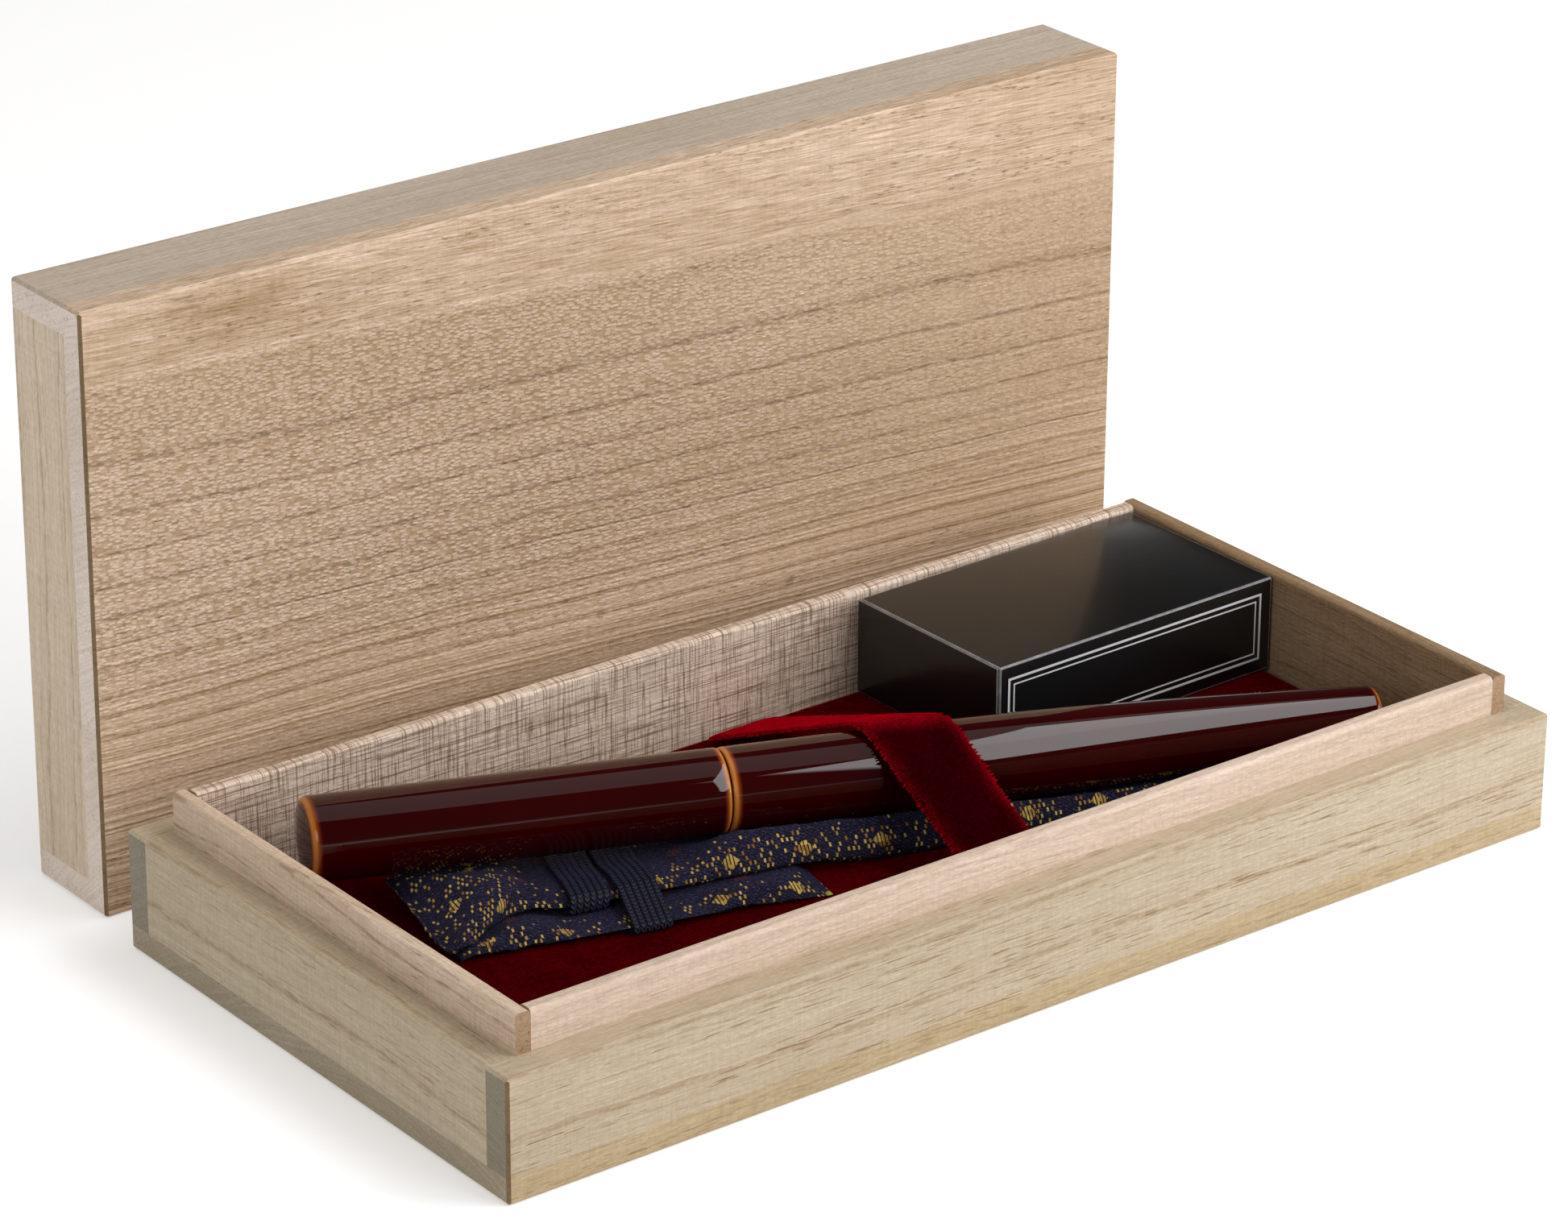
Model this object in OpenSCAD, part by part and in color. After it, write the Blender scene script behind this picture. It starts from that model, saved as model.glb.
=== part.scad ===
// Paulownia wood presentation case for a fountain pen, shown open. The base holds a velvet
// pad with a holding band, the pen on its brocade sleeve and a carton of ink cartridges.
// The lid stands on its long edge behind the base. Millimetres, +X along the case, +Z up,
// origin at the middle of the base's underside.

/* [Base box] */
// Inside depth of the well, between the long liners
well_d = 87.6; // [82:0.2:120]
// Height of the outer walls with the bottom board
base_h = 21; // [17:0.5:40]
// Thickness of the bottom board
bottom_t = 4.5; // [3:0.1:8]
// Thickness of the outer boards
board_t = 5.4; // [4:0.1:8]
// Chamfer that eases the outer edges of the boards
edge_ease = 0.5; // [0.2:0.1:1.5]

/* [Lip] */
// Thickness of the liner boards inside the walls
liner_t = 2.8; // [2.4:0.1:5]
// Height of the liner above the outer walls
lip_h = 6.8; // [3:0.1:12]
// Rounding of the liner's top edges
lip_round = 0.8; // [0.2:0.1:1.1]

/* [Lid] */
// Height of the closed lid, from rim to top
lid_h = 20.5; // [14:0.5:40]
// Thickness of the lid's top panel
lid_panel_t = 4.8; // [3:0.1:8]
// Clearance between the lid's boards and the lip
lid_clear = 0.4; // [0.2:0.1:1]
// Distance between the base and the standing lid
lid_gap = 11; // [4:0.1:40]
// Sideways offset of the standing lid
lid_shift = 2; // [-20:0.1:20]

/* [Velvet pad] */
// Clearance between the pad and the liners
pad_clear = 0.4; // [0.3:0.1:1]
// Thickness of the pad's stiff card
pad_card_t = 2; // [1:0.1:4]
// Thickness of the foam sheet
foam_t = 1.9; // [1:0.1:6]
// Thickness of the velvet
velvet_t = 0.8; // [0.5:0.1:1.5]
// Width of velvet turned under the card
velvet_turn = 12; // [6:0.5:25]
// Rolled edge of the velvet, as a chamfer
velvet_roll = 0.7; // [0.3:0.1:1]

/* [Holding band] */
// Width of the ribbon
band_w = 14; // [8:0.5:25]
// Thickness of the ribbon with its pile
band_t = 1.2; // [0.8:0.1:2]
// Where the ribbon's middle crosses the middle line of the case
band_x = 7; // [-20:0.1:14]
// Angle of the ribbon to the depth of the case
band_skew = 2.1; // [0:0.1:8]
// Distance from the front slit to where the ribbon comes down on the velvet
band_flat = 2; // [1.6:0.1:10]
// Distance from the slits to the pad's edge
slit_inset = 2.4; // [2:0.1:6]
// Clearance round the ribbon in its slits
slit_clear = 0.5; // [0.3:0.1:1]
// Clearance between the ribbon and the pen
band_clear = 0.35; // [0.2:0.05:1]

/* [Pen] */
// Length of the capped pen
pen_l = 183.2; // [150:0.2:200]
// Length of the cap
cap_l = 69; // [60:0.5:80]
// Diameter of the cap
cap_d = 14; // [12.6:0.1:15.4]
// Largest diameter of the barrel
barrel_d = 14.4; // [13:0.1:16]
// Diameter of the barrel's end, before its rounding
tail_d = 9.2; // [7:0.1:12]
// Distance from the cap's mouth to where the barrel starts to taper
barrel_even_l = 36; // [20:1:50]
// Rounding of the pen's two ends
end_round = 1.3; // [0.6:0.1:2]
// Height of the dome on the pen's two ends
end_dome = 0.9; // [0.4:0.1:1.5]
// Wall of the cap
cap_wall = 1.2; // [0.9:0.05:1.4]
// Gap between the cap's mouth and the barrel
cap_gap = 0.3; // [0.2:0.05:0.6]
// Running clearance of the parts inside the pen
pen_fit = 0.1; // [0.05:0.05:0.2]
// Length of the grip section in front of the barrel
grip_l = 29; // [24:0.5:32]
// Diameter of the grip section at its thread
grip_d = 10.8; // [9.6:0.1:11]
// Length of the nib in front of the grip section
nib_out = 21; // [16:0.5:23]
// Diameter of the ink feed
feed_d = 4.8; // [4:0.1:5.2]
// Thickness of the nib
nib_t = 0.4; // [0.2:0.05:0.6]

/* [Pen's place] */
// Angle of the pen to the length of the case
pen_yaw = 19.45; // [15:0.05:22]
// Downward slope of the pen, from cap to end
pen_pitch = 1.06; // [0.5:0.02:1.4]
// Room between the cap's end and the left liner
cap_room = 7.2; // [6.6:0.1:20]
// Room between the pen's other end and the right liner
tail_room = 9.8; // [9.5:0.1:25]
// Distance of the pen's middle in front of the carton's nearest corner
pen_front = 6.7; // [5:0.1:10]

/* [Brocade sleeve] */
// Length of the sleeve as it lies
sleeve_l = 164; // [140:1:170]
// Width of the sleeve
sleeve_w = 25; // [20:0.5:27]
// How far the folded end stands out in front of the sleeve's straight run
sleeve_flare = 2.7; // [0:0.1:4]
// Thickness of the sleeve at its folded end
sleeve_t = 2.9; // [2.4:0.1:5]
// Thickness of the sleeve where it lies single
sleeve_thin_t = 1.9; // [1.4:0.1:2]
// Thickness of the flap folded under the sleeve
flap_t = 1.6; // [1.2:0.1:4]
// Length of the flap past the stretch that the cord draws in
flap_free_l = 11; // [5:0.5:25]
// How far the flap's free end stands out in front of the sleeve
flap_out = 6; // [0:0.5:8]
// Angle of the sleeve to the length of the case
sleeve_yaw = 12; // [10:0.1:16]
// Distance of the sleeve's middle to the right of the pen's middle
sleeve_right = 3.8; // [0:0.1:8]
// Distance of the sleeve's middle in front of the pen's middle
sleeve_front = 1.3; // [0:0.1:3]
// Clearance between cloth layers, and under what lies on the velvet
lay_gap = 0.15; // [0.1:0.05:0.3]
// Clearance between the pen and the sleeve under it
rest_gap = 0.3; // [0.2:0.05:0.6]

/* [Tie cord] */
// Width of the flat braided cord
cord_w = 6.8; // [5:0.1:9]
// Thickness of the cord
cord_t = 0.6; // [0.5:0.05:0.7]
// Gap between neighbouring turns
cord_gap = 0.7; // [0.6:0.1:2]
// Distance from the sleeve's folded end to the middle of the cord
cord_at = 32.5; // [30:0.5:38]
// How far the cord draws the sleeve's front edge in
pinch_front = 3; // [1.5:0.1:7]
// How far the cord draws the sleeve's back edge in
pinch_back = 2.5; // [1.5:0.1:4]
// Thickness of the flap under the cord
pinch_flap_t = 0.6; // [0.5:0.05:0.9]

/* [Ink carton] */
// Length of the carton
carton_l = 61.8; // [58:0.1:68]
// Width of the carton
carton_w = 36.4; // [34.8:0.1:40]
// Height of the carton
carton_h = 17.1; // [15.5:0.1:30]
// Thickness of the carton's card
carton_wall = 0.5; // [0.3:0.05:0.8]
// Angle at which the carton lies in its corner
carton_yaw = 1.2; // [0:0.1:2]
// Clearance between the carton and the liners
carton_clear = 0.5; // [0.3:0.1:2]
// Clearance of the end flap in its opening
carton_flap_gap = 0.15; // [0.1:0.05:0.3]
// Diameter of a cartridge
cartridge_d = 6.6; // [5.5:0.1:6.8]
// Length of a cartridge with its neck
cartridge_l = 56; // [50:0.5:57]
// Gap between neighbouring cartridges
cartridge_gap = 0.2; // [0.1:0.05:0.4]

/* [Hidden] */
$fn = 96;

// Colours
wood_outer = "#d9c3a0";
wood_inner = "#c9b08a";
velvet_red = "#8c0d1c";
lacquer = "#3a0a0c";
steel_gold = "#d8b45a";
indigo = "#22244a";
card_black = "#141416";

// Cutting tools reach this far past a face
cut = 1;

// Pen in its own frame: along +Z from the cap's end
cap_r = cap_d / 2;
barrel_r = barrel_d / 2;
tail_r = tail_d / 2;
mouth_z = cap_l + cap_gap;
grip_z = mouth_z - grip_l;
cap_bore_r = cap_r - cap_wall;
barrel_bore_r = cartridge_d / 2 + 6 * pen_fit;
barrel_taper_z = mouth_z + barrel_even_l;
taper_power = 1.8;
taper_steps = 24;

// The well is as long as the slanting pen and the room at its two ends
pen_plan_x = pen_l * cos(pen_pitch) * cos(pen_yaw);
pen_plan_y = pen_l * cos(pen_pitch) * sin(pen_yaw);
cap_corner = cap_r * sin(pen_yaw);
tail_corner = tail_r * sin(pen_yaw);
well_l = pen_plan_x + cap_corner + tail_corner + cap_room + tail_room;

// Outer sizes of the case and heights of its layers
wall_t = board_t + liner_t;
case_l = well_l + 2 * wall_t;
case_d = well_d + 2 * wall_t;
lid_board_t = board_t - lid_clear;
liner_h = base_h - bottom_t + lip_h;
pad_l = well_l - 2 * pad_clear;
pad_d = well_d - 2 * pad_clear;
pad_card_z = bottom_t + velvet_t;
foam_z = pad_card_z + pad_card_t;
pad_top = foam_z + foam_t + velvet_t;
slit_y = pad_d / 2 - slit_inset;

// Place of the pen and of the sleeve under it
carton_front_y = well_d / 2 - carton_clear - carton_w - carton_l * sin(carton_yaw);
pen_mid_x = -well_l / 2 + cap_room + cap_corner + pen_plan_x / 2;
pen_mid_y = carton_front_y - pen_front;
cap_end_x = pen_mid_x - pen_plan_x / 2;
cap_end_y = pen_mid_y + pen_plan_y / 2;
sleeve_x = pen_mid_x + sleeve_right - sleeve_l / 2 * cos(sleeve_yaw);
sleeve_y = pen_mid_y - sleeve_front + sleeve_l / 2 * sin(sleeve_yaw);
sleeve_slope = tan(pen_pitch);
layer_z = pad_top + lay_gap;
over_flap_z = layer_z + flap_t + lay_gap;
sleeve_top_z = over_flap_z + sleeve_t;
cap_overhang = (sleeve_x - cap_end_x) / cos(pen_yaw);
cap_end_z = sleeve_top_z + rest_gap + barrel_r / cos(pen_pitch) + cap_overhang * sleeve_slope;

// Tie cord: two turns, the first one's front half between the flap and the sleeve. Heights
// of the layers where the cord draws them together, from the velvet up to the pen.
cord_turns = 2;
cord_pitch = cord_w + cord_gap;
cord_half_l = (cord_turns * cord_pitch + cord_w) / 2;
cord_low_z = layer_z + cord_t / 2;
pinch_flap_z = layer_z + cord_t + lay_gap;
cord_between_z = pinch_flap_z + pinch_flap_t + lay_gap + cord_t / 2;
pinch_sleeve_z = cord_between_z + cord_t / 2 + lay_gap;
pinch_top_z = pen_rest_z(cord_at + cord_half_l) - cord_t - lay_gap;
cord_high_z = pinch_top_z + lay_gap + cord_t / 2;
pinch_run = 12;
flap_l = cord_at + cord_half_l + pinch_run + flap_free_l;

function signed_power(v, p) = sign(v) * pow(abs(v), p);

// Box with all its edges eased, standing on z = 0
module eased_rect(l, d, e) {
    polygon([
        [-l / 2 + e, -d / 2], [l / 2 - e, -d / 2], [l / 2, -d / 2 + e], [l / 2, d / 2 - e],
        [l / 2 - e, d / 2], [-l / 2 + e, d / 2], [-l / 2, d / 2 - e], [-l / 2, -d / 2 + e]
    ]);
}

module eased_box(l, d, h, e) {
    intersection() {
        linear_extrude(h) eased_rect(l, d, e);
        translate([0, d / 2, h / 2]) rotate([90, 0, 0]) linear_extrude(d) eased_rect(l, h, e);
        translate([-l / 2, 0, h / 2]) rotate([90, 0, 90]) linear_extrude(l) eased_rect(d, h, e);
    }
}

// Block of given size, centred over the point x, y and standing on z
module block(size, at) {
    translate([at[0] - size[0] / 2, at[1] - size[1] / 2, at[2]]) cube(size);
}

// Closed solid through a row of rings, each a convex ring of points
module loft(rings) {
    n = len(rings);
    m = len(rings[0]);
    sides = [
        for (i = [0 : n - 2], j = [0 : m - 1], half = [0, 1])
            let (a = i * m + j, b = i * m + (j + 1) % m)
                half == 0 ? [a, b + m, b] : [a, a + m, b + m]
    ];
    first = [for (j = [1 : m - 2]) [0, j, j + 1]];
    last = [for (j = [1 : m - 2]) [(n - 1) * m, (n - 1) * m + j + 1, (n - 1) * m + j]];
    polyhedron([for (ring = rings) each ring], concat(sides, first, last));
}

// Boards of the base, cut from one eased box
module base_board(size, at) {
    color(wood_outer) intersection() {
        eased_box(case_l, case_d, base_h, edge_ease);
        block(size, at);
    }
}

module bottom_board() {
    base_board([case_l, case_d, bottom_t], [0, 0, 0]);
}

module long_board(side) {
    base_board([case_l, board_t, base_h - bottom_t], [0, side * (case_d - board_t) / 2, bottom_t]);
}

module end_board(side) {
    base_board(
        [board_t, case_d - 2 * board_t, base_h - bottom_t],
        [side * (case_l - board_t) / 2, 0, bottom_t]
    );
}

module front_board() { long_board(-1); }
module back_board() { long_board(1); }
module left_end_board() { end_board(-1); }
module right_end_board() { end_board(1); }

// Liner boards with rounded top edges, standing on the bottom board
module liner_profile() {
    shoulder = liner_h - lip_round;
    translate([-liner_t / 2, 0]) square([liner_t, shoulder]);
    for (side = [-1, 1]) {
        translate([side * (liner_t / 2 - lip_round), shoulder]) circle(lip_round);
    }
    translate([lip_round - liner_t / 2, 0]) square([liner_t - 2 * lip_round, liner_h]);
}

module liner(l) {
    color(wood_inner) translate([-l / 2, 0, bottom_t]) rotate([90, 0, 90])
        linear_extrude(l) liner_profile();
}

module long_liner(side) {
    translate([0, side * (well_d + liner_t) / 2, 0]) liner(well_l);
}

module end_liner(side) {
    translate([side * (well_l + liner_t) / 2, 0, 0]) rotate([0, 0, 90])
        liner(well_d + 2 * liner_t);
}

module front_liner() { long_liner(-1); }
module back_liner() { long_liner(1); }
module left_liner() { end_liner(-1); }
module right_liner() { end_liner(1); }

// Lid boards, drawn closed with the rim on z = 0 and stood up behind the base
module lid_board(size, at) {
    color(wood_outer)
        translate([lid_shift, case_d / 2 + lid_gap + lid_h, case_d / 2]) rotate([90, 0, 0])
            intersection() {
                eased_box(case_l, case_d, lid_h, edge_ease);
                block(size, at);
            }
}

lid_side_h = lid_h - lid_panel_t;

module lid_panel() {
    lid_board([case_l, case_d, lid_panel_t], [0, 0, lid_side_h]);
}

module lid_long_board(side) {
    lid_board([case_l, lid_board_t, lid_side_h], [0, side * (case_d - lid_board_t) / 2, 0]);
}

module lid_end_board(side) {
    lid_board(
        [lid_board_t, case_d - 2 * lid_board_t, lid_side_h],
        [side * (case_l - lid_board_t) / 2, 0, 0]
    );
}

module lid_front_board() { lid_long_board(-1); }
module lid_back_board() { lid_long_board(1); }
module lid_left_end() { lid_end_board(-1); }
module lid_right_end() { lid_end_board(1); }

// Velvet pad: card, foam and cover, with two slits for the ribbon's ends
module band_slits(z) {
    slant = tan(band_skew);
    for (side = [-1, 1]) {
        block(
            [band_w + 2 * slit_clear, band_t + 2 * slit_clear, pad_top],
            [band_x + side * slit_y * slant, side * slit_y, z]
        );
    }
}

module pad_card() {
    color("#b9a98c")
        block([pad_l - 2 * velvet_t, pad_d - 2 * velvet_t, pad_card_t], [0, 0, pad_card_z]);
}

module pad_foam() {
    color("#e8e2d4") difference() {
        block([pad_l - 2 * velvet_t, pad_d - 2 * velvet_t, foam_t], [0, 0, foam_z]);
        band_slits(foam_z - cut);
    }
}

module velvet_cover() {
    color(velvet_red) difference() {
        translate([0, 0, bottom_t]) eased_box(pad_l, pad_d, pad_top - bottom_t, velvet_roll);
        block([pad_l - 2 * velvet_t, pad_d - 2 * velvet_t, pad_card_t + foam_t], [0, 0, pad_card_z]);
        block([pad_l - 2 * velvet_turn, pad_d - 2 * velvet_turn, 2 * velvet_t], [0, 0, bottom_t - cut]);
        band_slits(foam_z + foam_t - cut);
    }
}

// Ribbon: from the back slit up over the pen and down to the front slit. Each of its edges
// is a taut line in its own upright plane, round the pen's section in that plane.
band_slant = tan(band_skew);
band_round = cos(pen_yaw) + band_slant * sin(pen_yaw);
band_arc_steps = 14;
band_line_r = barrel_r + band_clear + band_t / 2;

function band_edge_x(side) = band_x + side * band_w / 2;

function pen_line_y(side) =
    (cap_end_y - tan(pen_yaw) * (band_edge_x(side) - cap_end_x)) / (1 + tan(pen_yaw) * band_slant);

function pen_line_z(side) =
    cap_end_z - (cap_end_y - pen_line_y(side)) / sin(pen_yaw) * sleeve_slope;

// Angle round the pen at which a taut line from a point on the velvet touches it
function touch_angle(side, y, z, turn) =
    let (dy = (y - pen_line_y(side)) * band_round, dz = z - pen_line_z(side))
        atan2(dz, dy) + turn * acos(band_line_r / norm([dy, dz])) + (dy < 0 ? 360 : 0);

function band_line(side) =
    let (
        low_z = layer_z + band_t / 2,
        back = [slit_y - band_t / 4, pad_top + band_t / 2],
        land = [band_flat - slit_y, low_z],
        from = touch_angle(side, back[0], back[1], 1),
        to = touch_angle(side, land[0], land[1], -1)
    ) [
        [slit_y, foam_z],
        [slit_y, pad_top - velvet_t],
        back,
        for (i = [0 : band_arc_steps])
            let (a = from + (to - from) * i / band_arc_steps)
                [pen_line_y(side) + band_line_r * cos(a) / band_round,
                 pen_line_z(side) + band_line_r * sin(a)],
        land + [band_t, band_t],
        land,
        [band_t / 3 - slit_y, low_z - band_t / 6],
        [-slit_y, pad_top - velvet_t / 2],
        [-slit_y, foam_z]
    ];

// Unit normal of a row of points, pointing away from the pen
function line_normal(row, i) =
    let (step = row[min(i + 1, len(row) - 1)] - row[max(i - 1, 0)])
        [step[1], -step[0]] / norm(step);

function band_point(side, row, i, off) =
    let (p = row[i] + off * line_normal(row, i))
        [band_edge_x(side) + band_slant * p[0], p[0], p[1]];

module holding_band() {
    left = band_line(-1);
    right = band_line(1);
    color("#a50f22") loft([
        for (i = [0 : len(left) - 1]) [
            band_point(1, right, i, -band_t / 2), band_point(1, right, i, band_t / 2),
            band_point(-1, left, i, band_t / 2), band_point(-1, left, i, -band_t / 2)
        ]
    ]);
}

// Pen
module pen_place() {
    translate([cap_end_x, cap_end_y, cap_end_z]) rotate([0, pen_pitch, -pen_yaw])
        rotate([0, 90, 0]) children();
}

// Half profile of a round rod whose end at y = 0 is domed with a rounded edge
function dome_radius(r) = (r * r + end_dome * end_dome) / (2 * end_dome);
function dome_edge_y(r) =
    dome_radius(r) - sqrt(pow(dome_radius(r) - end_round, 2) - pow(r - end_round, 2));

module domed_profile(r, l) {
    big = dome_radius(r);
    edge_y = dome_edge_y(r);
    touch_x = (r - end_round) * big / (big - end_round);
    intersection() {
        translate([0, big]) circle(big, $fn = 360);
        square([touch_x, l]);
    }
    intersection() {
        translate([r - end_round, edge_y]) circle(end_round);
        square([r, l]);
    }
    translate([0, edge_y]) square([r, l - edge_y]);
}

module pen_cap() {
    color(lacquer) pen_place() rotate_extrude() difference() {
        domed_profile(cap_r, cap_l);
        translate([-cut, cap_end_wall]) square([cut + cap_bore_r, cap_l]);
    }
}

cap_end_wall = 8;
inner_cap_wall = 0.9;
inner_cap_floor = 1.5;

module inner_cap() {
    r = cap_bore_r - pen_fit;
    color("#2a2a2c") pen_place() rotate_extrude() difference() {
        translate([0, cap_end_wall]) square([r, grip_z - 2 * pen_fit - cap_end_wall]);
        translate([-cut, cap_end_wall + inner_cap_floor]) square([cut + r - inner_cap_wall, cap_l]);
    }
}

// Barrel radius behind the even stretch: a long taper that quickens to the end
tail_edge_z = pen_l - dome_edge_y(tail_r);
function taper_r(t) = barrel_r - (barrel_r - tail_r) * pow(t, taper_power);

module barrel_profile() {
    polygon([
        [0, mouth_z], [cap_r, mouth_z],
        for (i = [0 : taper_steps])
            let (t = i / taper_steps)
                [taper_r(t), barrel_taper_z + (tail_edge_z - barrel_taper_z) * t],
        [0, tail_edge_z]
    ]);
    intersection() {
        translate([0, pen_l]) mirror([0, 1]) domed_profile(tail_r, 2 * tail_r);
        translate([0, tail_edge_z]) square([tail_r, tail_r]);
    }
}

neck_l = 13;
neck_r = barrel_bore_r - pen_fit;
cartridge_neck_l = 6;
cartridge_neck_r = 2.4;
cartridge_z = mouth_z + neck_l - cartridge_neck_l;

module pen_barrel() {
    color(lacquer) pen_place() rotate_extrude() difference() {
        barrel_profile();
        translate([-cut, mouth_z - cut])
            square([cut + barrel_bore_r, cut + cartridge_z + cartridge_l + 2 - mouth_z]);
    }
}

// Grip: a lip at the front, a waist, the thread collar and the neck in the barrel
section_bore_r = feed_d / 2 + nib_t + 2 * pen_fit;
grip_lip = 0.6;
grip_front_r = grip_d / 2 - 0.6;
collar_l = 7;

module grip_section() {
    color("#1c0a0b") pen_place() rotate_extrude() difference() {
        union() {
            polygon([
                [0, grip_z], [grip_front_r - grip_lip, grip_z], [grip_front_r, grip_z + grip_lip],
                [grip_front_r, grip_z + 2 * grip_lip], [grip_front_r - grip_lip, grip_z + 5 * grip_lip],
                [grip_d / 2 - pen_fit, mouth_z - collar_l - 1], [0, mouth_z - collar_l - 1]
            ]);
            translate([0, mouth_z - collar_l - 1]) square([grip_d / 2, collar_l + 1]);
            translate([0, mouth_z - cut]) square([neck_r, cut + neck_l]);
        }
        translate([-cut, grip_z - cut]) square([cut + section_bore_r, grip_l + neck_l + 2 * cut]);
    }
}

// Nib: a slice of tube with rounded shoulders, a tapering point, a slit and a breather hole
nib_root = 8;
nib_hw = 3.4;
nib_shoulder = 0.55;
nib_tip_hw = 0.35;
nib_slit = 0.15;
breather_r = 0.6;

module nib() {
    r = feed_d / 2 + pen_fit + nib_t;
    tip = grip_z - nib_out;
    shoulder = tip + nib_shoulder * nib_out;
    color(steel_gold) pen_place() difference() {
        intersection() {
            translate([0, 0, tip]) difference() {
                cylinder(nib_out + nib_root, r = r);
                translate([0, 0, -cut]) cylinder(nib_out + nib_root + 2 * cut, r = r - nib_t);
            }
            rotate([0, -90, 0]) linear_extrude(r) polygon([
                [tip, -nib_tip_hw], [shoulder, -nib_hw], [grip_z + nib_root, -nib_hw],
                [grip_z + nib_root, nib_hw], [shoulder, nib_hw], [tip, nib_tip_hw]
            ]);
            block([2 * r, 2 * r, nib_out + nib_root], [-r - nib_t, 0, tip]);
        }
        block([r, nib_slit, nib_shoulder * nib_out], [-r, 0, tip - cut]);
        translate([0, 0, tip + nib_shoulder * nib_out - cut]) rotate([0, -90, 0])
            cylinder(2 * r, r = breather_r, $fn = 32);
    }
}

// Feed: a finned rod under the nib, cut away towards its tip
feed_back = 3;
fin_count = 6;
fin_pitch = 1.6;
fin_cut = 0.5;

module ink_feed() {
    r = feed_d / 2;
    front = grip_z - nib_out * 0.7;
    back = cartridge_z - feed_back;
    color("#101012") pen_place() difference() {
        translate([0, 0, front]) cylinder(back - front, r = r);
        translate([r * 0.55, 0, front]) rotate([0, 14, 0])
            block([2 * r, 3 * r, nib_out], [r, 0, -nib_out * 0.6]);
        for (i = [0 : fin_count - 1]) {
            block([r, 3 * r, fin_cut], [r * 0.9, 0, grip_z - 2 - i * fin_pitch]);
        }
    }
}

// Cartridge along +Z, neck first
module cartridge() {
    r = cartridge_d / 2;
    shoulder = 1;
    rotate_extrude() {
        square([cartridge_neck_r, cartridge_neck_l]);
        polygon([
            [0, cartridge_neck_l], [cartridge_neck_r, cartridge_neck_l],
            [r, cartridge_neck_l + shoulder], [r, cartridge_l - shoulder],
            [r - shoulder, cartridge_l], [0, cartridge_l]
        ]);
    }
}

module pen_cartridge() {
    color("#20242e") pen_place() translate([0, 0, cartridge_z]) cartridge();
}

// Sleeve in its own frame: u from the folded end, v across with the back at +v
module sleeve_place() {
    translate([sleeve_x, sleeve_y, 0]) rotate([0, 0, -sleeve_yaw]) children();
}

section_points = 16;

// Rounded section of cloth between two heights, from the front edge to the back edge
function cloth_ring(u, front, back, low, high) = [
    for (j = [0 : section_points - 1])
        let (c = cos(360 * j / section_points), s = sin(360 * j / section_points))
            [u, (c < 0 ? front : back) * signed_power(c, 0.5),
             (low + high) / 2 + (high - low) / 2 * signed_power(s, 0.7)]
];

// Share of the cord's draw at u: 1 under the cord, 0 away from it
function pinch(u) = max(0, min(1, (cord_half_l + pinch_run - abs(u - cord_at)) / pinch_run));

function mix(a, b, t) = a + (b - a) * t;

// Step down of the sleeve past the end of its flap
drop_run = 10;
function past_flap(u) = max(0, min(1, (u - flap_l) / drop_run));

fold_run = 3;
function pen_rest_z(u) = sleeve_top_z - u * sleeve_slope;
function sleeve_top(u) =
    mix(max(pen_rest_z(u), layer_z + sleeve_thin_t), pinch_top_z, pinch(u));
function sleeve_low(u) = mix(mix(over_flap_z, pinch_sleeve_z, pinch(u)), layer_z, past_flap(u));

end_draw = 0.35;

// How far the front edge stands out near the folded end
flare_l = cord_at - cord_half_l - pinch_run / 2;
function flare(u) = sleeve_flare * max(0, 1 - u / flare_l);

function sleeve_ring(u) =
    let (
        near = min(1, min(u, sleeve_l - u) / fold_run),
        draw = end_draw * pow(1 - near, 2),
        hw = sleeve_w / 2 * (1 - draw / 4),
        low = sleeve_low(u),
        high = sleeve_top(u),
        shut = (high - low) * draw
    ) cloth_ring(
        u, hw + flare(u) - pinch(u) * pinch_front, hw - pinch(u) * pinch_back, low + shut, high - shut
    );

module brocade_sleeve() {
    a = cord_at - cord_half_l;
    b = cord_at + cord_half_l;
    stations = [
        0, fold_run / 2, fold_run, a - pinch_run, a - pinch_run / 2, a, b, b + pinch_run / 2, b + pinch_run,
        flap_l, flap_l + drop_run / 2, flap_l + drop_run,
        sleeve_l * 0.62, sleeve_l * 0.82, sleeve_l - fold_run, sleeve_l - fold_run / 2, sleeve_l
    ];
    color(indigo) sleeve_place() loft([for (u = stations) sleeve_ring(u)]);
}

function flap_stands_out(u) = mix(sleeve_flare, flap_out, u / flap_l);

module sleeve_flap() {
    a = cord_at - cord_half_l;
    b = cord_at + cord_half_l;
    end = flap_l - lay_gap;
    stations = [0, fold_run, a - pinch_run, a, b, b + pinch_run, end - fold_run, end];
    color("#2a2b52") sleeve_place() loft([
        for (u = stations)
            let (
                hw = sleeve_w / 2,
                out = flap_stands_out(u),
                thin = u == 0 || u == end ? flap_t / 4 : 0
            ) cloth_ring(
                u, hw + out, hw - max(out, pinch(u) * pinch_back),
                mix(layer_z, pinch_flap_z, pinch(u)) + thin,
                mix(layer_z + flap_t, pinch_flap_z + pinch_flap_t, pinch(u)) - thin
            )
    ]);
}

// Cord: one flat strand wound round the sleeve, one end under the sleeve, one under the flap

// Half a turn from its lower middle to its upper middle, as points with outward directions.
// It bends round a lower and an upper edge, and runs straight between them.
cord_bend_r = cord_t;
cord_bend_steps = 4;
cord_sides = [[-0.5, 0], [-0.42, 1], [0.42, 1], [0.5, 0], [0.42, -1], [-0.42, -1]];

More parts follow.
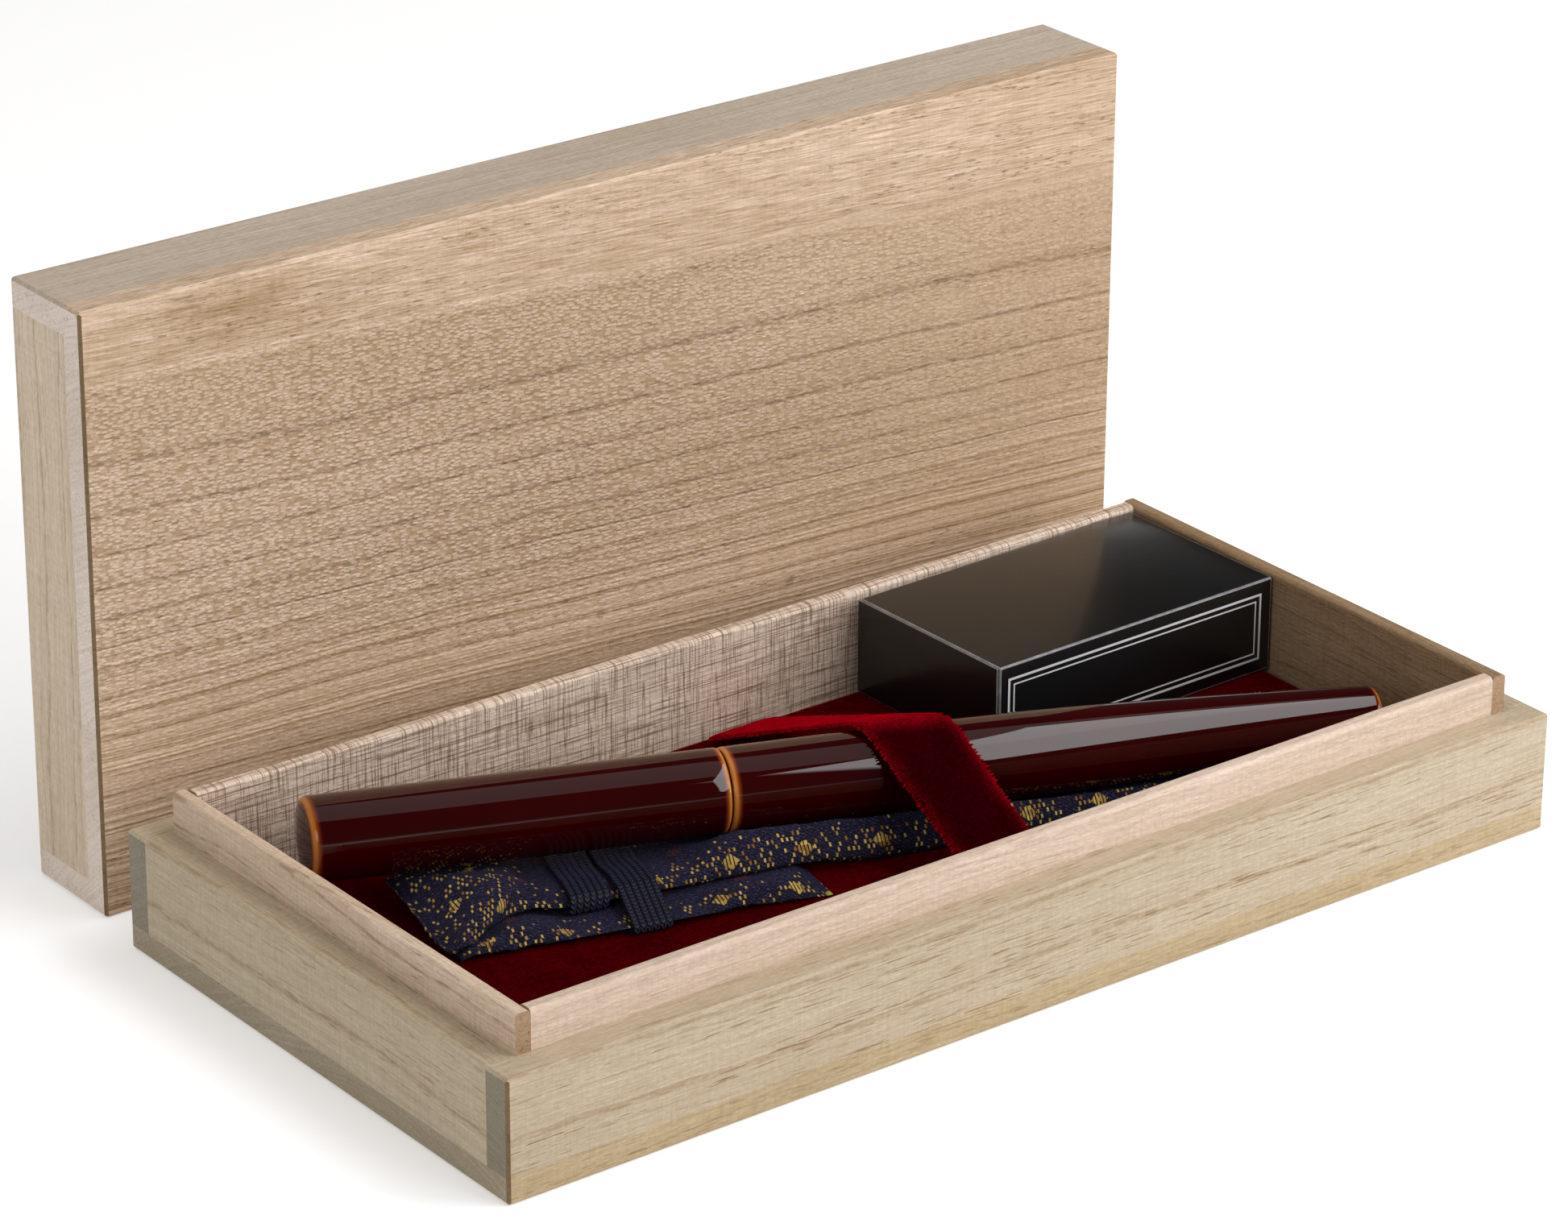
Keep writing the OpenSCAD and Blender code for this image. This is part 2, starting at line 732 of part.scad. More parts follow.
function half_turn(low_hw, high_hw, low) =
    let (
        r = cord_bend_r,
        rise = cord_high_z - low - 2 * r,
        meet = atan2(rise, high_hw - low_hw) - 90
    ) [
        [[0, low], [0, -1]],
        for (i = [0 : cord_bend_steps])
            let (a = mix(-90, meet, i / cord_bend_steps))
                [[low_hw - r + r * cos(a), low + r + r * sin(a)], [cos(a), sin(a)]],
        for (i = [0 : cord_bend_steps])
            let (a = mix(meet, 90, i / cord_bend_steps))
                [[high_hw - r + r * cos(a), cord_high_z - r + r * sin(a)], [cos(a), sin(a)]],
        [[0, cord_high_z], [0, 1]]
    ];

cord_hug = sleeve_w / 2 + lay_gap + cord_t / 2;
cord_front_hw = cord_hug - pinch_front;
cord_back_hw = cord_hug - pinch_back;
cord_flap_hw = cord_hug + flap_stands_out(cord_at + cord_pitch);
cord_halves = [
    half_turn(cord_front_hw, cord_front_hw, cord_between_z),
    half_turn(cord_back_hw, cord_back_hw, cord_low_z),
    half_turn(cord_flap_hw, cord_front_hw, cord_low_z),
    half_turn(cord_back_hw, cord_back_hw, cord_low_z)
];

// Length of a half turn up to its point k
function run_to(half, k) = k == 0 ? 0 : run_to(half, k - 1) + norm(half[k][0] - half[k - 1][0]);

// Ring of the strand at point k of half turn h, counted along the strand
function cord_ring(h, k) =
    let (
        half = cord_halves[h],
        last = len(half) - 1,
        upward = h % 2 == 0,
        at = upward ? k : last - k,
        spot = half[at],
        done = run_to(half, at) / run_to(half, last),
        share = upward ? done : 1 - done,
        u = cord_at + ((h + share) / 2 - cord_turns / 2) * cord_pitch,
        across = upward ? -1 : 1
    ) [
        for (side = cord_sides)
            let (p = spot[0] + side[1] * cord_t / 2 * spot[1])
                [u + side[0] * cord_w, across * p[0], p[1]]
    ];

cord_end = len(cord_halves[3]) - 1;
cord_path = [
    for (h = [0 : 2 * cord_turns - 1], k = [0 : cord_end - 1]) cord_ring(h, k),
    cord_ring(2 * cord_turns - 1, cord_end)
];
cord_least_gap = min([
    for (i = [0 : len(cord_path) - 1 - cord_end], j = [i + cord_end : len(cord_path) - 1])
        norm(cord_path[i][3] - cord_path[j][0])
]);

module sleeve_cord() {
    echo(cord_least_gap = cord_least_gap);
    color("#1b1c33") sleeve_place() loft(cord_path);
}

// Carton in its own frame: back right lower corner at the origin
module carton_place() {
    translate([
        well_l / 2 - carton_clear - carton_w * sin(carton_yaw),
        well_d / 2 - carton_clear,
        layer_z
    ]) rotate([0, 0, carton_yaw]) translate([-carton_l, -carton_w, 0]) children();
}

module carton_shell() {
    color(card_black) carton_place() difference() {
        translate([carton_wall, 0, 0]) cube([carton_l - carton_wall, carton_w, carton_h]);
        translate([carton_wall - cut, carton_wall, carton_wall])
            cube([carton_l - 2 * carton_wall + cut, carton_w - 2 * carton_wall, carton_h - 2 * carton_wall]);
    }
}

module carton_flap() {
    color(card_black) carton_place() translate([0, carton_flap_gap, carton_flap_gap])
        cube([carton_wall - carton_flap_gap, carton_w - 2 * carton_flap_gap, carton_h - carton_flap_gap]);
}

cartridge_columns = 5;
cartridge_layers = 2;

module ink_cartridges() {
    pitch = cartridge_d + cartridge_gap;
    first = (carton_w - (cartridge_columns - 1) * pitch) / 2;
    color("#20242e") carton_place()
        for (i = [0 : cartridge_columns - 1], k = [0 : cartridge_layers - 1]) {
            translate([
                (carton_l - cartridge_l) / 2,
                first + i * pitch,
                carton_wall + cartridge_gap + cartridge_d / 2 + k * pitch
            ]) rotate([0, 90, 0]) cartridge();
        }
}

bottom_board();
front_board();
back_board();
left_end_board();
right_end_board();
front_liner();
back_liner();
left_liner();
right_liner();
lid_panel();
lid_front_board();
lid_back_board();
lid_left_end();
lid_right_end();
pad_card();
pad_foam();
velvet_cover();
holding_band();
pen_cap();
inner_cap();
pen_barrel();
grip_section();
nib();
ink_feed();
pen_cartridge();
brocade_sleeve();
sleeve_flap();
sleeve_cord();
carton_shell();
carton_flap();
ink_cartridges();
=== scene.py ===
# %% [markdown]
# # An open wooden pen case
# A shallow paulownia case lies open on a white table. Its lid stands on its long edge behind it.
# In the base are a velvet pad, a ribbon that holds a lacquered fountain pen, the pen's brocade
# sleeve with its tie cord, and a small black carton of ink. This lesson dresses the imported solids:
# the boards keep their exact shapes and get real wood, and everything soft or polished is
# modelled again, finer than the solids can be.

import math

import bpy
import numpy as np
from mathutils import Euler, Matrix, Vector, noise


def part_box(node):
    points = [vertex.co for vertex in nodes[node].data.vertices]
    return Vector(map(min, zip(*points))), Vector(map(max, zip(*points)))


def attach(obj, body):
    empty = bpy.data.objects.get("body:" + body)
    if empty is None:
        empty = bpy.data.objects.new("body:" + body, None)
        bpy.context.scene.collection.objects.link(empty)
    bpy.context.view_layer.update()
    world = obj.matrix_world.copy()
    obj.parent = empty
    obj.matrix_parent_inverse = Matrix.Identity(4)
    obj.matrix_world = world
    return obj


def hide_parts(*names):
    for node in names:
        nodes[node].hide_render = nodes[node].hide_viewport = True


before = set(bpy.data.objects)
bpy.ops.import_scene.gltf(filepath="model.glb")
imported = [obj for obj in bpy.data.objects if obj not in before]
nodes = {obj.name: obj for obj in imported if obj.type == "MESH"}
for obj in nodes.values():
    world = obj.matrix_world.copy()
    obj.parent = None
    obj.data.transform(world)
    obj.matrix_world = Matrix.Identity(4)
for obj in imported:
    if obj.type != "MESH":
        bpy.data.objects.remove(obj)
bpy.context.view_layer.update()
MM = 0.001

# %% [markdown]
# ## Camera
# The photograph was taken with a long lens from the front left, a little above the case. The
# place and the three axes were worked out from the corners of the boards, so the picture has
# the same perspective. The lens follows from the picture's width of 1946 pixels.

# %% Camera at the photograph's place
camera_right = (0.79238, -0.61000, 0.00537)
camera_up = (0.24387, 0.32484, 0.91379)
camera_back = (-0.55915, -0.72276, 0.40616)
camera_place = Vector((-0.534103, -0.671698, 0.430260))
focal_pixels, picture_pixels, sensor_mm = 7315.837, 1946, 36
bpy.ops.object.camera_add()
camera = bpy.context.object
camera.name = "camera"
turn = Matrix((camera_right, camera_up, camera_back)).transposed().to_4x4()
camera.matrix_world = Matrix.Translation(camera_place) @ turn
camera.data.sensor_width = sensor_mm
camera.data.lens = focal_pixels / picture_pixels * sensor_mm
bpy.context.scene.camera = camera
print("lens in mm:", round(camera.data.lens, 2))

# %% [markdown]
# ## Two small helpers for materials
# Colours are written as the hex codes that a picture editor shows, and a renderer wants them
# linear, so one function converts them. A second one adds a node, sets its values and makes its
# links in a single call. An input may be a number, a socket, or a whole node, which then gives
# its first output in use. Everything else is said where it is used.

# %% Colour and node helpers
def linear(code):
    def channel(text):
        c = int(text, 16) / 255
        return c / 12.92 if c <= 0.04045 else ((c + 0.055) / 1.055) ** 2.4

    return (channel(code[1:3]), channel(code[3:5]), channel(code[5:7]), 1.0)


def grey(value):
    return (value, value, value, 1.0)


def add(tree, kind, inputs=None, stops=(), **settings):
    node = tree.nodes.new("ShaderNode" + kind)
    for name, value in settings.items():
        setattr(node, name, value)
    for key, value in (inputs or {}).items():
        if isinstance(value, bpy.types.Node):
            value = next(socket for socket in value.outputs if socket.enabled)
        if isinstance(value, bpy.types.NodeSocket):
            tree.links.new(value, node.inputs[key])
        else:
            node.inputs[key].default_value = value
    for i, (place, colour) in enumerate(stops):
        elements = node.color_ramp.elements
        stop = elements[i] if i < len(elements) else elements.new(place)
        stop.position = place
        stop.color = colour
    return node


def new_material(name):
    material = bpy.data.materials.new(name)
    material.use_nodes = True
    material.node_tree.nodes.clear()
    return material, material.node_tree


print("pale straw in linear light:", [round(c, 3) for c in linear("#d8c6ac")])

# %% [markdown]
# ## Table, backdrop and light
# A product photographer puts such a case on white paper with a big soft light overhead and a
# second one to the right. The paper is nearly white and still takes the shadow. The camera, and
# what mirrors in the lacquer, see a white horizon that darkens towards the top of the studio.

# %% Paper on the table
def seen_directly(tree):
    """1 for what the camera, a mirror or clear plastic shows, and 0 for light that bounces."""
    path = add(tree, "LightPath")
    seen = add(tree, "Math", {0: path.outputs["Is Camera Ray"], 1: path.outputs["Is Glossy Ray"]},
               operation="MAXIMUM")
    return add(tree, "Math", {0: seen, 1: path.outputs["Is Transmission Ray"]}, operation="MAXIMUM")


bpy.ops.object.select_all(action="DESELECT")
bpy.ops.mesh.primitive_plane_add(size=8, location=(0, 0, -0.00005))
table = bpy.context.object
table.name = "white_paper"
paper, tree = new_material("white paper")
lift = add(tree, "Math", {0: seen_directly(tree), 1: 0.34}, operation="MULTIPLY")
matt = add(tree, "BsdfDiffuse", {"Color": linear("#f4f4f4")})
glow = add(tree, "Emission", {"Color": grey(1), "Strength": lift})
both = add(tree, "AddShader", {0: matt, 1: glow})
add(tree, "OutputMaterial", {"Surface": both})
table.data.materials.append(paper)
print("paper:", table.dimensions[0], "m across")

# %% Studio world: white horizon, dim top
world = bpy.data.worlds.new("studio")
bpy.context.scene.world = world
world.use_nodes = True
tree = world.node_tree
tree.nodes.clear()
seen = seen_directly(tree)
sky = add(tree, "TexCoord")
height = add(tree, "SeparateXYZ", {0: sky.outputs["Generated"]})
ramp = add(tree, "ValToRGB", {0: height.outputs["Z"]},
           stops=[(0.0, grey(1)), (0.06, grey(1)), (0.18, grey(0.05)), (1.0, grey(0.03))])
shown = add(tree, "Background", {"Color": ramp, "Strength": 1.0})
fill = add(tree, "Background", {"Color": linear("#f6f4f2"), "Strength": 0.39})
mixed = add(tree, "MixShader", {0: seen, 1: fill, 2: shown})
add(tree, "OutputWorld", {"Surface": mixed})
print("world nodes:", len(tree.nodes))

# %% Softboxes overhead, on the right and on the left, and a strip that draws the barrel's stripe
# name, place, target, roll in degrees, width and height in metres, watts
softboxes = [
    ("overhead_softbox", (0.02, 0.05, 0.95), (0.0, 0.02, 0.0), 0, 1.1, 0.8, 1.25),
    ("key_softbox", (0.56, -0.60, 0.30), (0.03, 0.0, 0.03), 0, 0.4, 0.4, 3.0),
    ("stripe_softbox", (0.3145, -0.501, 0.8187), (0.079, 0.112, 0.105), 41, 1.42, 0.315, 5.6),
    ("left_softbox", (-0.95, -0.35, 0.45), (0.0, 0.03, 0.03), 0, 0.5, 0.5, 2.0),
]
for name, place, target, roll, width, height, watts in softboxes:
    bpy.ops.object.light_add(type="AREA", location=place)
    lamp = bpy.context.object
    lamp.name = name
    aim = (Vector(target) - Vector(place)).to_track_quat("-Z", "Y")
    lamp.rotation_euler = (aim @ Euler((0, 0, math.radians(roll))).to_quaternion()).to_euler()
    lamp.data.shape = "RECTANGLE"
    lamp.data.size = width
    lamp.data.size_y = height
    lamp.data.energy = watts
    print(name, watts, "W,", width, "x", height, "m")

# %% A black flag cuts the strip light obliquely, so its mirror image ends in a point on the barrel
strip_light = bpy.data.objects["stripe_softbox"].data
strip_light.use_nodes = True
tree = strip_light.node_tree
tree.nodes.clear()
flag_edge, flag_normal = (0.0505, -0.7172, 0.7201), (0.9676, 0.0994, -0.234)
lit_point = add(tree, "NewGeometry")
from_flag = add(tree, "VectorMath", {0: lit_point.outputs["Position"], 1: flag_edge},
                operation="SUBTRACT")
past_flag = add(tree, "VectorMath", {0: from_flag, 1: flag_normal}, operation="DOT_PRODUCT")
open_share = add(tree, "MapRange", {"Value": past_flag, 1: -0.01, 2: 0.01, 3: 0.0, 4: 1.0})
glow = add(tree, "Emission", {"Strength": open_share})
add(tree, "OutputLight", {"Surface": glow})
bpy.context.scene.view_settings.view_transform = "Standard"
print("flag on", strip_light.name)

# %% [markdown]
# ## Paulownia boards
# The case is made of bare paulownia, a very light and pale wood. On a face along the grain it
# shows growth rings as brown lines, wide apart where the face only grazes a ring and close
# together where it cuts the rings steeply. Between them lie short open pores, and planing leaves
# fine flecks. The rings are drawn as they grew: distance from the pith of the tree, divided by the
# width of a ring, so that the lines agree on all faces of a board.

# %% Growth rings round the pith
def growth_rings(tree, mm, pith, ring_mm, warp_mm, wiggle_mm, narrow_at):
    """The bent distance from the pith, and how much late wood there is, from 0 to 1."""
    from_pith = add(tree, "VectorMath", {0: mm, 1: (0, pith[0], pith[1])}, operation="SUBTRACT")
    across = add(tree, "VectorMath", {0: from_pith, 1: (0, 1, 1)}, operation="MULTIPLY")
    radius = add(tree, "VectorMath", {0: across}, operation="LENGTH")
    # slow waves of the growing tree, 80 mm long, and a small wiggle of 10 mm
    slow_at = add(tree, "VectorMath", {0: mm, 1: (0.012, 0.03, 0.03)}, operation="MULTIPLY")
    slow = add(tree, "TexNoise", {"Vector": slow_at, "Scale": 1.0, "Detail": 2.0})
    bent = add(tree, "Math", {0: slow, 1: 4 * warp_mm, 2: radius}, operation="MULTIPLY_ADD")
    wiggle_at = add(tree, "VectorMath", {0: mm, 1: (0.10, 0.25, 0.25)}, operation="MULTIPLY")
    wiggle = add(tree, "TexNoise", {"Vector": wiggle_at, "Scale": 1.0, "Detail": 3.0,
                                    "Roughness": 0.65})
    bent = add(tree, "Math", {0: wiggle, 1: wiggle_mm, 2: bent}, operation="MULTIPLY_ADD")
    rings = add(tree, "Math", {0: bent, 1: ring_mm}, operation="DIVIDE")
    if narrow_at:
        # an old tree adds thinner rings: ring_mm is their width at this radius
        older = add(tree, "Math", {0: bent, 1: 2 * narrow_at}, operation="DIVIDE")
        rings = add(tree, "Math", {0: rings, 1: older}, operation="MULTIPLY")
    ring = add(tree, "Math", {0: rings}, operation="FRACT")
    late = add(tree, "ValToRGB", {0: ring},
               stops=[(0.0, grey(0.4)), (0.035, grey(0.03)), (0.5, grey(0.0)), (0.88, grey(0.2)),
                      (0.965, grey(1.0)), (1.0, grey(0.5))])
    # a ring line is a row of pores, so it is broken into dashes of 3 mm
    row_at = add(tree, "VectorMath", {0: mm, 1: (0.30, 1.6, 1.6)}, operation="MULTIPLY")
    row = add(tree, "TexNoise", {"Vector": row_at, "Scale": 1.0, "Detail": 3.0, "Roughness": 0.6})
    broken = add(tree, "MapRange", {"Value": row, 1: 0.42, 2: 0.56, 3: 0.3, 4: 1.0})
    return bent, add(tree, "Math", {0: late, 1: broken}, operation="MULTIPLY")


# %% Pores, saw marks and rays in the wood's colour
def wood_colour(tree, mm, late, pale, line, line_share, pores, pore_mm, hatch):
    """The pale wood with its dark lines, and the pores alone, which also sink into the surface."""
    late = add(tree, "Math", {0: late, 1: line_share}, operation="MULTIPLY")
    colour = add(tree, "Mix", {0: late, 6: linear(pale), 7: linear(line)}, data_type="RGBA")
    per_mm = (1 / pore_mm[0], 1 / pore_mm[1], 1 / pore_mm[1])
    pore_at = add(tree, "VectorMath", {0: mm, 1: per_mm}, operation="MULTIPLY")
    pore = add(tree, "TexNoise", {"Vector": pore_at, "Scale": 1.0, "Detail": 2.0, "Roughness": 0.6})
    # they gather in bands 4 mm wide
    band_at = add(tree, "VectorMath", {0: mm, 1: (0.015, 0.26, 0.26)}, operation="MULTIPLY")
    band = add(tree, "TexNoise", {"Vector": band_at, "Scale": 1.0, "Detail": 1.0})
    band = add(tree, "MapRange", {"Value": band, 1: 0.42, 2: 0.6, 3: 0.2 * pores, 4: pores})
    pore = add(tree, "MapRange", {"Value": pore, 1: 0.60, 2: 0.66, 3: 0.0, 4: band})
    colour = add(tree, "Mix", {0: pore, 6: colour, 7: linear(line)}, data_type="RGBA")
    # rough saw marks of 0.25 mm, across the grain and along it, as on the liners
    for per_mm in ((4.2, 0.12, 0.12), (0.06, 4.0, 4.0)) if hatch else ():
        mark_at = add(tree, "VectorMath", {0: mm, 1: per_mm}, operation="MULTIPLY")
        mark = add(tree, "TexNoise", {"Vector": mark_at, "Scale": 1.0, "Detail": 3.0,
                                      "Roughness": 0.65})
        mark = add(tree, "MapRange", {"Value": mark, 1: 0.52, 2: 0.60, 3: 0.0, 4: hatch})
        colour = add(tree, "Mix", {0: mark, 6: colour, 7: linear(line)}, data_type="RGBA")
    return colour, pore


# %% Drifts of tone, fibres and rays
def wood_tone(tree, mm, bent, end, streaks):
    """A factor round 1 for the colour, and the fibres alone, which also roughen the surface."""
    drift_at = add(tree, "VectorMath", {0: mm, 1: (0.008, 0.05, 0.05)}, operation="MULTIPLY")
    drift = add(tree, "TexNoise", {"Vector": drift_at, "Scale": 1.0, "Detail": 3.0})
    tone = add(tree, "MapRange", {"Value": drift, 1: 0.3, 2: 0.7, 3: 0.90, 4: 1.08})
    # fibres are 0.28 mm wide and 8 mm long, and dots on the end grain
    fibre_at = add(tree, "VectorMath", {0: mm, 1: (3.0, 3.0, 3.0) if end else (0.13, 3.6, 3.6)},
                   operation="MULTIPLY")
    fibre = add(tree, "TexNoise", {"Vector": fibre_at, "Scale": 1.0, "Detail": 4.0,
                                   "Roughness": 0.6})
    fine = add(tree, "MapRange", {"Value": fibre, 1: 0.3, 2: 0.7, 3: 0.88, 4: 1.10})
    tone = add(tree, "Math", {0: tone, 1: fine}, operation="MULTIPLY")
    # streaks that follow the rings, 0.6 mm wide
    streak = add(tree, "TexNoise", {"W": bent, "Scale": 1.6, "Detail": 3.0, "Roughness": 0.7},
                 noise_dimensions="1D")
    streak = add(tree, "MapRange", {"Value": streak, 1: 0.3, 2: 0.7, 3: -1.0, 4: 0.7})
    streak = add(tree, "Math", {0: streak, 1: streaks, 2: 1.0}, operation="MULTIPLY_ADD")
    tone = add(tree, "Math", {0: tone, 1: streak}, operation="MULTIPLY")
    # rays cross the grain as a faint upright ripple of 0.5 mm
    ray_at = add(tree, "VectorMath", {0: mm, 1: (2.0, 0.15, 0.15)}, operation="MULTIPLY")
    ray = add(tree, "TexNoise", {"Vector": ray_at, "Scale": 1.0, "Detail": 2.0})
    ray = add(tree, "MapRange", {"Value": ray, 1: 0.3, 2: 0.7, 3: 0.96, 4: 1.04})
    return add(tree, "Math", {0: tone, 1: ray}, operation="MULTIPLY"), fibre


# %% Flecks left by the plane
def plane_flecks(tree, mm, size, zone):
    """Brick-like flecks of 1.2 by 0.5 mm, a little coarser than real so that they show."""
    fleck_at = add(tree, "VectorMath", {0: mm, 1: (0.85, 1.9, 1.9)}, operation="MULTIPLY")
    fleck = add(tree, "TexVoronoi", {"Vector": fleck_at, "Scale": 1.0}, feature="F1",
                distance="CHEBYCHEV")
    dome = add(tree, "MapRange", {"Value": fleck, 1: 0.12, 2: 0.62, 3: size, 4: -size})
    if zone:
        axes = add(tree, "SeparateXYZ", {0: mm})
        for axis, start, stop, before, after in zone:
            share = add(tree, "MapRange", {"Value": axes.outputs[axis], 1: start, 2: stop,
                                           3: before, 4: after})
            dome = add(tree, "Math", {0: dome, 1: share}, operation="MULTIPLY")
    return dome


# %% What is special about the lid's panel
# flecks are strong in its middle, weak low down, in the strip on top and at its right end:
# the axis, where the change starts and stops in mm, and the share before and after it
lid_flecks = (("Z", 26, 44, 0.35, 1.0), ("Z", 84, 89, 1.0, 0.2), ("X", -20, 70, 1.0, 0.45))


def lid_cast(tree, mm, tone, fibre):
    """A pale strip of sapwood on top with a knot's cloudy shade, a paler foot, a dark right end."""
    axes = add(tree, "SeparateXYZ", {0: mm})
    right = add(tree, "MapRange", {"Value": axes.outputs["X"], 1: -100, 2: 107, 3: 1.0, 4: 0.80})
    tone = add(tree, "Math", {0: tone, 1: right}, operation="MULTIPLY")
    low = add(tree, "MapRange", {"Value": axes.outputs["Z"], 1: 20, 2: 55, 3: 1.07, 4: 1.0})
    tone = add(tree, "Math", {0: tone, 1: low}, operation="MULTIPLY")
    edge = add(tree, "Math", {0: axes.outputs["X"], 1: -0.012, 2: axes.outputs["Z"]},
               operation="MULTIPLY_ADD")
    paler = add(tree, "MapRange", {"Value": axes.outputs["X"], 1: -100, 2: -66, 3: 0.97, 4: 1.10})
    strip_from, strip_to = 87.4, 88.1
    strip = add(tree, "MapRange", {"Value": edge, 1: strip_from, 2: strip_to, 3: 0.97, 4: paler})
    tone = add(tree, "Math", {0: tone, 1: strip}, operation="MULTIPLY")
    # its fibres show more than those of the flecked wood
    lines = add(tree, "MapRange", {"Value": fibre, 1: 0.3, 2: 0.7, 3: 0.72, 4: 1.24})
    on_strip = add(tree, "MapRange", {"Value": edge, 1: strip_from, 2: strip_to, 3: 0.0, 4: 1.0})
    lines = add(tree, "Mix", {0: on_strip, 2: 1.0, 3: lines}, data_type="FLOAT")
    tone = add(tree, "Math", {0: tone, 1: lines}, operation="MULTIPLY")
    to_knot = add(tree, "VectorMath", {0: mm, 1: (-77, 63, 95)}, operation="SUBTRACT")
    to_knot = add(tree, "VectorMath", {0: to_knot, 1: (0.042, 0, 0.13)}, operation="MULTIPLY")
    to_knot = add(tree, "VectorMath", {0: to_knot}, operation="LENGTH")
    cloud_at = add(tree, "VectorMath", {0: mm, 1: (0.12, 0.3, 0.3)}, operation="MULTIPLY")
    cloud = add(tree, "TexNoise", {"Vector": cloud_at, "Scale": 1.0, "Detail": 3.0})
    cloud = add(tree, "Math", {0: cloud, 1: 1.4, 2: to_knot}, operation="MULTIPLY_ADD")
    shade = add(tree, "MapRange", {"Value": cloud, 1: 0.75, 2: 1.7, 3: 0.66, 4: 1.0})
    return add(tree, "Math", {0: tone, 1: shade}, operation="MULTIPLY")


# %% Paulownia: bare, planed and unpolished, so it is matt with a faint silky gleam
def paulownia(name, pale, line, pith, ring_mm, grain="X", slant=0.0, line_share=0.5, pores=0.35,
              pore_mm=(6.0, 0.38), flecks=0.2, hatch=0.0, warp_mm=1.2, wiggle_mm=1.0,
              narrow_at=0.0, streaks=0.1, end=False, lid=False):
    material, tree = new_material(name)
    coord = add(tree, "TexCoord")
    # millimetres, with the grain turned to run along X
    turn_grain = {"X": (0, slant, 0), "Y": (0, 0, math.pi / 2), "Z": (0, math.pi / 2, 0)}[grain]
    mm = add(tree, "Mapping", {"Vector": coord.outputs["Object"], "Rotation": turn_grain,
                               "Scale": (1 / MM, 1 / MM, 1 / MM)})
    bent, late = growth_rings(tree, mm, pith, ring_mm, warp_mm, wiggle_mm, narrow_at)
    if lid:
        # the pale strip on top has no ring lines, and the lower half is the most streaky
        axes = add(tree, "SeparateXYZ", {0: mm})
        below = add(tree, "MapRange", {"Value": axes.outputs["Z"], 1: 79, 2: 84, 3: 1.0, 4: 0.0})
        late = add(tree, "Math", {0: late, 1: below}, operation="MULTIPLY")
        streaks = add(tree, "MapRange", {"Value": axes.outputs["Z"], 1: 34, 2: 56,
                                         3: 2 * streaks, 4: 0.5 * streaks})
    colour, pore = wood_colour(tree, mm, late, pale, line, line_share, pores, pore_mm, hatch)
    tone, fibre = wood_tone(tree, mm, bent, end, streaks)
    dome = plane_flecks(tree, mm, flecks, lid_flecks if lid else ())
    # each fleck also tints the wood, lighter on its crown and darker at its rim: painted glint and
    # shade of the planed figure
    fleck_painted_shading = add(tree, "Math", {0: dome, 1: 0.31, 2: 1.0}, operation="MULTIPLY_ADD")
    tone = add(tree, "Math", {0: tone, 1: fleck_painted_shading}, operation="MULTIPLY")
    if lid:
        tone = lid_cast(tree, mm, tone, fibre)
    # darker wood is also a warmer brown, so the blue falls fastest
    change = add(tree, "Math", {0: tone, 1: 1.0}, operation="SUBTRACT")
    cast = add(tree, "VectorMath", {0: change, 1: (0.85, 1.0, 1.3), 2: (1, 1, 1)},
               operation="MULTIPLY_ADD")
    wood = add(tree, "VectorMath", {0: colour, 1: cast}, operation="MULTIPLY")
    relief = add(tree, "Math", {0: fibre, 1: 0.5, 2: dome}, operation="MULTIPLY_ADD")
    relief = add(tree, "Math", {0: pore, 1: -0.8, 2: relief}, operation="MULTIPLY_ADD")
    bump = add(tree, "Bump", {"Height": relief, "Strength": 0.6, "Distance": 0.2 * MM})
    shader = add(tree, "BsdfPrincipled", {
        "Base Color": wood, "Roughness": 0.58, "IOR": 1.45, "Specular IOR Level": 0.35,
        "Normal": bump})
    add(tree, "OutputMaterial", {"Surface": shader})
    return material


# %% Wood for each kind of board
lid_face = paulownia("planed paulownia, lid panel", "#d4b99f", "#704a26", (104, 101), 3.3,
                     slant=math.radians(-2.5), line_share=0.6, pores=0.55, pore_mm=(2.4, 0.34),
                     flecks=1.0, warp_mm=0.8, wiggle_mm=0.5, narrow_at=81, streaks=0.24, lid=True)
lid_board = paulownia("planed paulownia, lid boards", "#c6b5a3", "#927a60", (150, 40), 3.4,
                      line_share=0.4, pores=0.3)
lid_end_board = paulownia("planed paulownia, lid ends", "#decbb3", "#9a7e58", (-60, -140), 3.4,
                          grain="Z", line_share=0.55, pores=0.4)
base_board = paulownia("planed paulownia, base boards", "#c2b198", "#875d28", (-20, 81), 9.0,
                       line_share=0.42, pores=0.75, pore_mm=(8.0, 0.3), warp_mm=1.2)
base_end_board = paulownia("planed paulownia, base ends", "#c6b79e", "#865f2c", (60, 120), 6.5,
                           grain="Y", line_share=0.5, pores=0.45, hatch=0.1)
bottom_wood = paulownia("planed paulownia, bottom board", "#bfaa88", "#86633a", (30, -60), 2.2,
                        line_share=0.6, pores=0.45)
liner_long = paulownia("sawn paulownia, long liners", "#dbc5b3", "#947556", (70, -30), 7.0,
                       line_share=0.25, pores=0.32, pore_mm=(7.0, 0.34))
liner_back = paulownia("sawn paulownia, back liner", "#e6d1bf", "#70502f", (70, -30), 7.0,
                       line_share=0.2, pores=0.2, hatch=0.72)
liner_left = paulownia("sawn paulownia, left liner", "#dcc5ae", "#855a3e", (20, -80), 3.5,
                       grain="Y", line_share=0.6, pores=0.45, hatch=0.15, warp_mm=3.0)
# the right liner is a darker copy of the liners' wood: painted shade
liner_right_painted_shade = paulownia("sawn paulownia, right liner, painted shade", "#9f8466", "#644a30", (20, -80), 3.5,
                        grain="Y", line_share=0.5, pores=0.45, hatch=0.2, warp_mm=3.0)
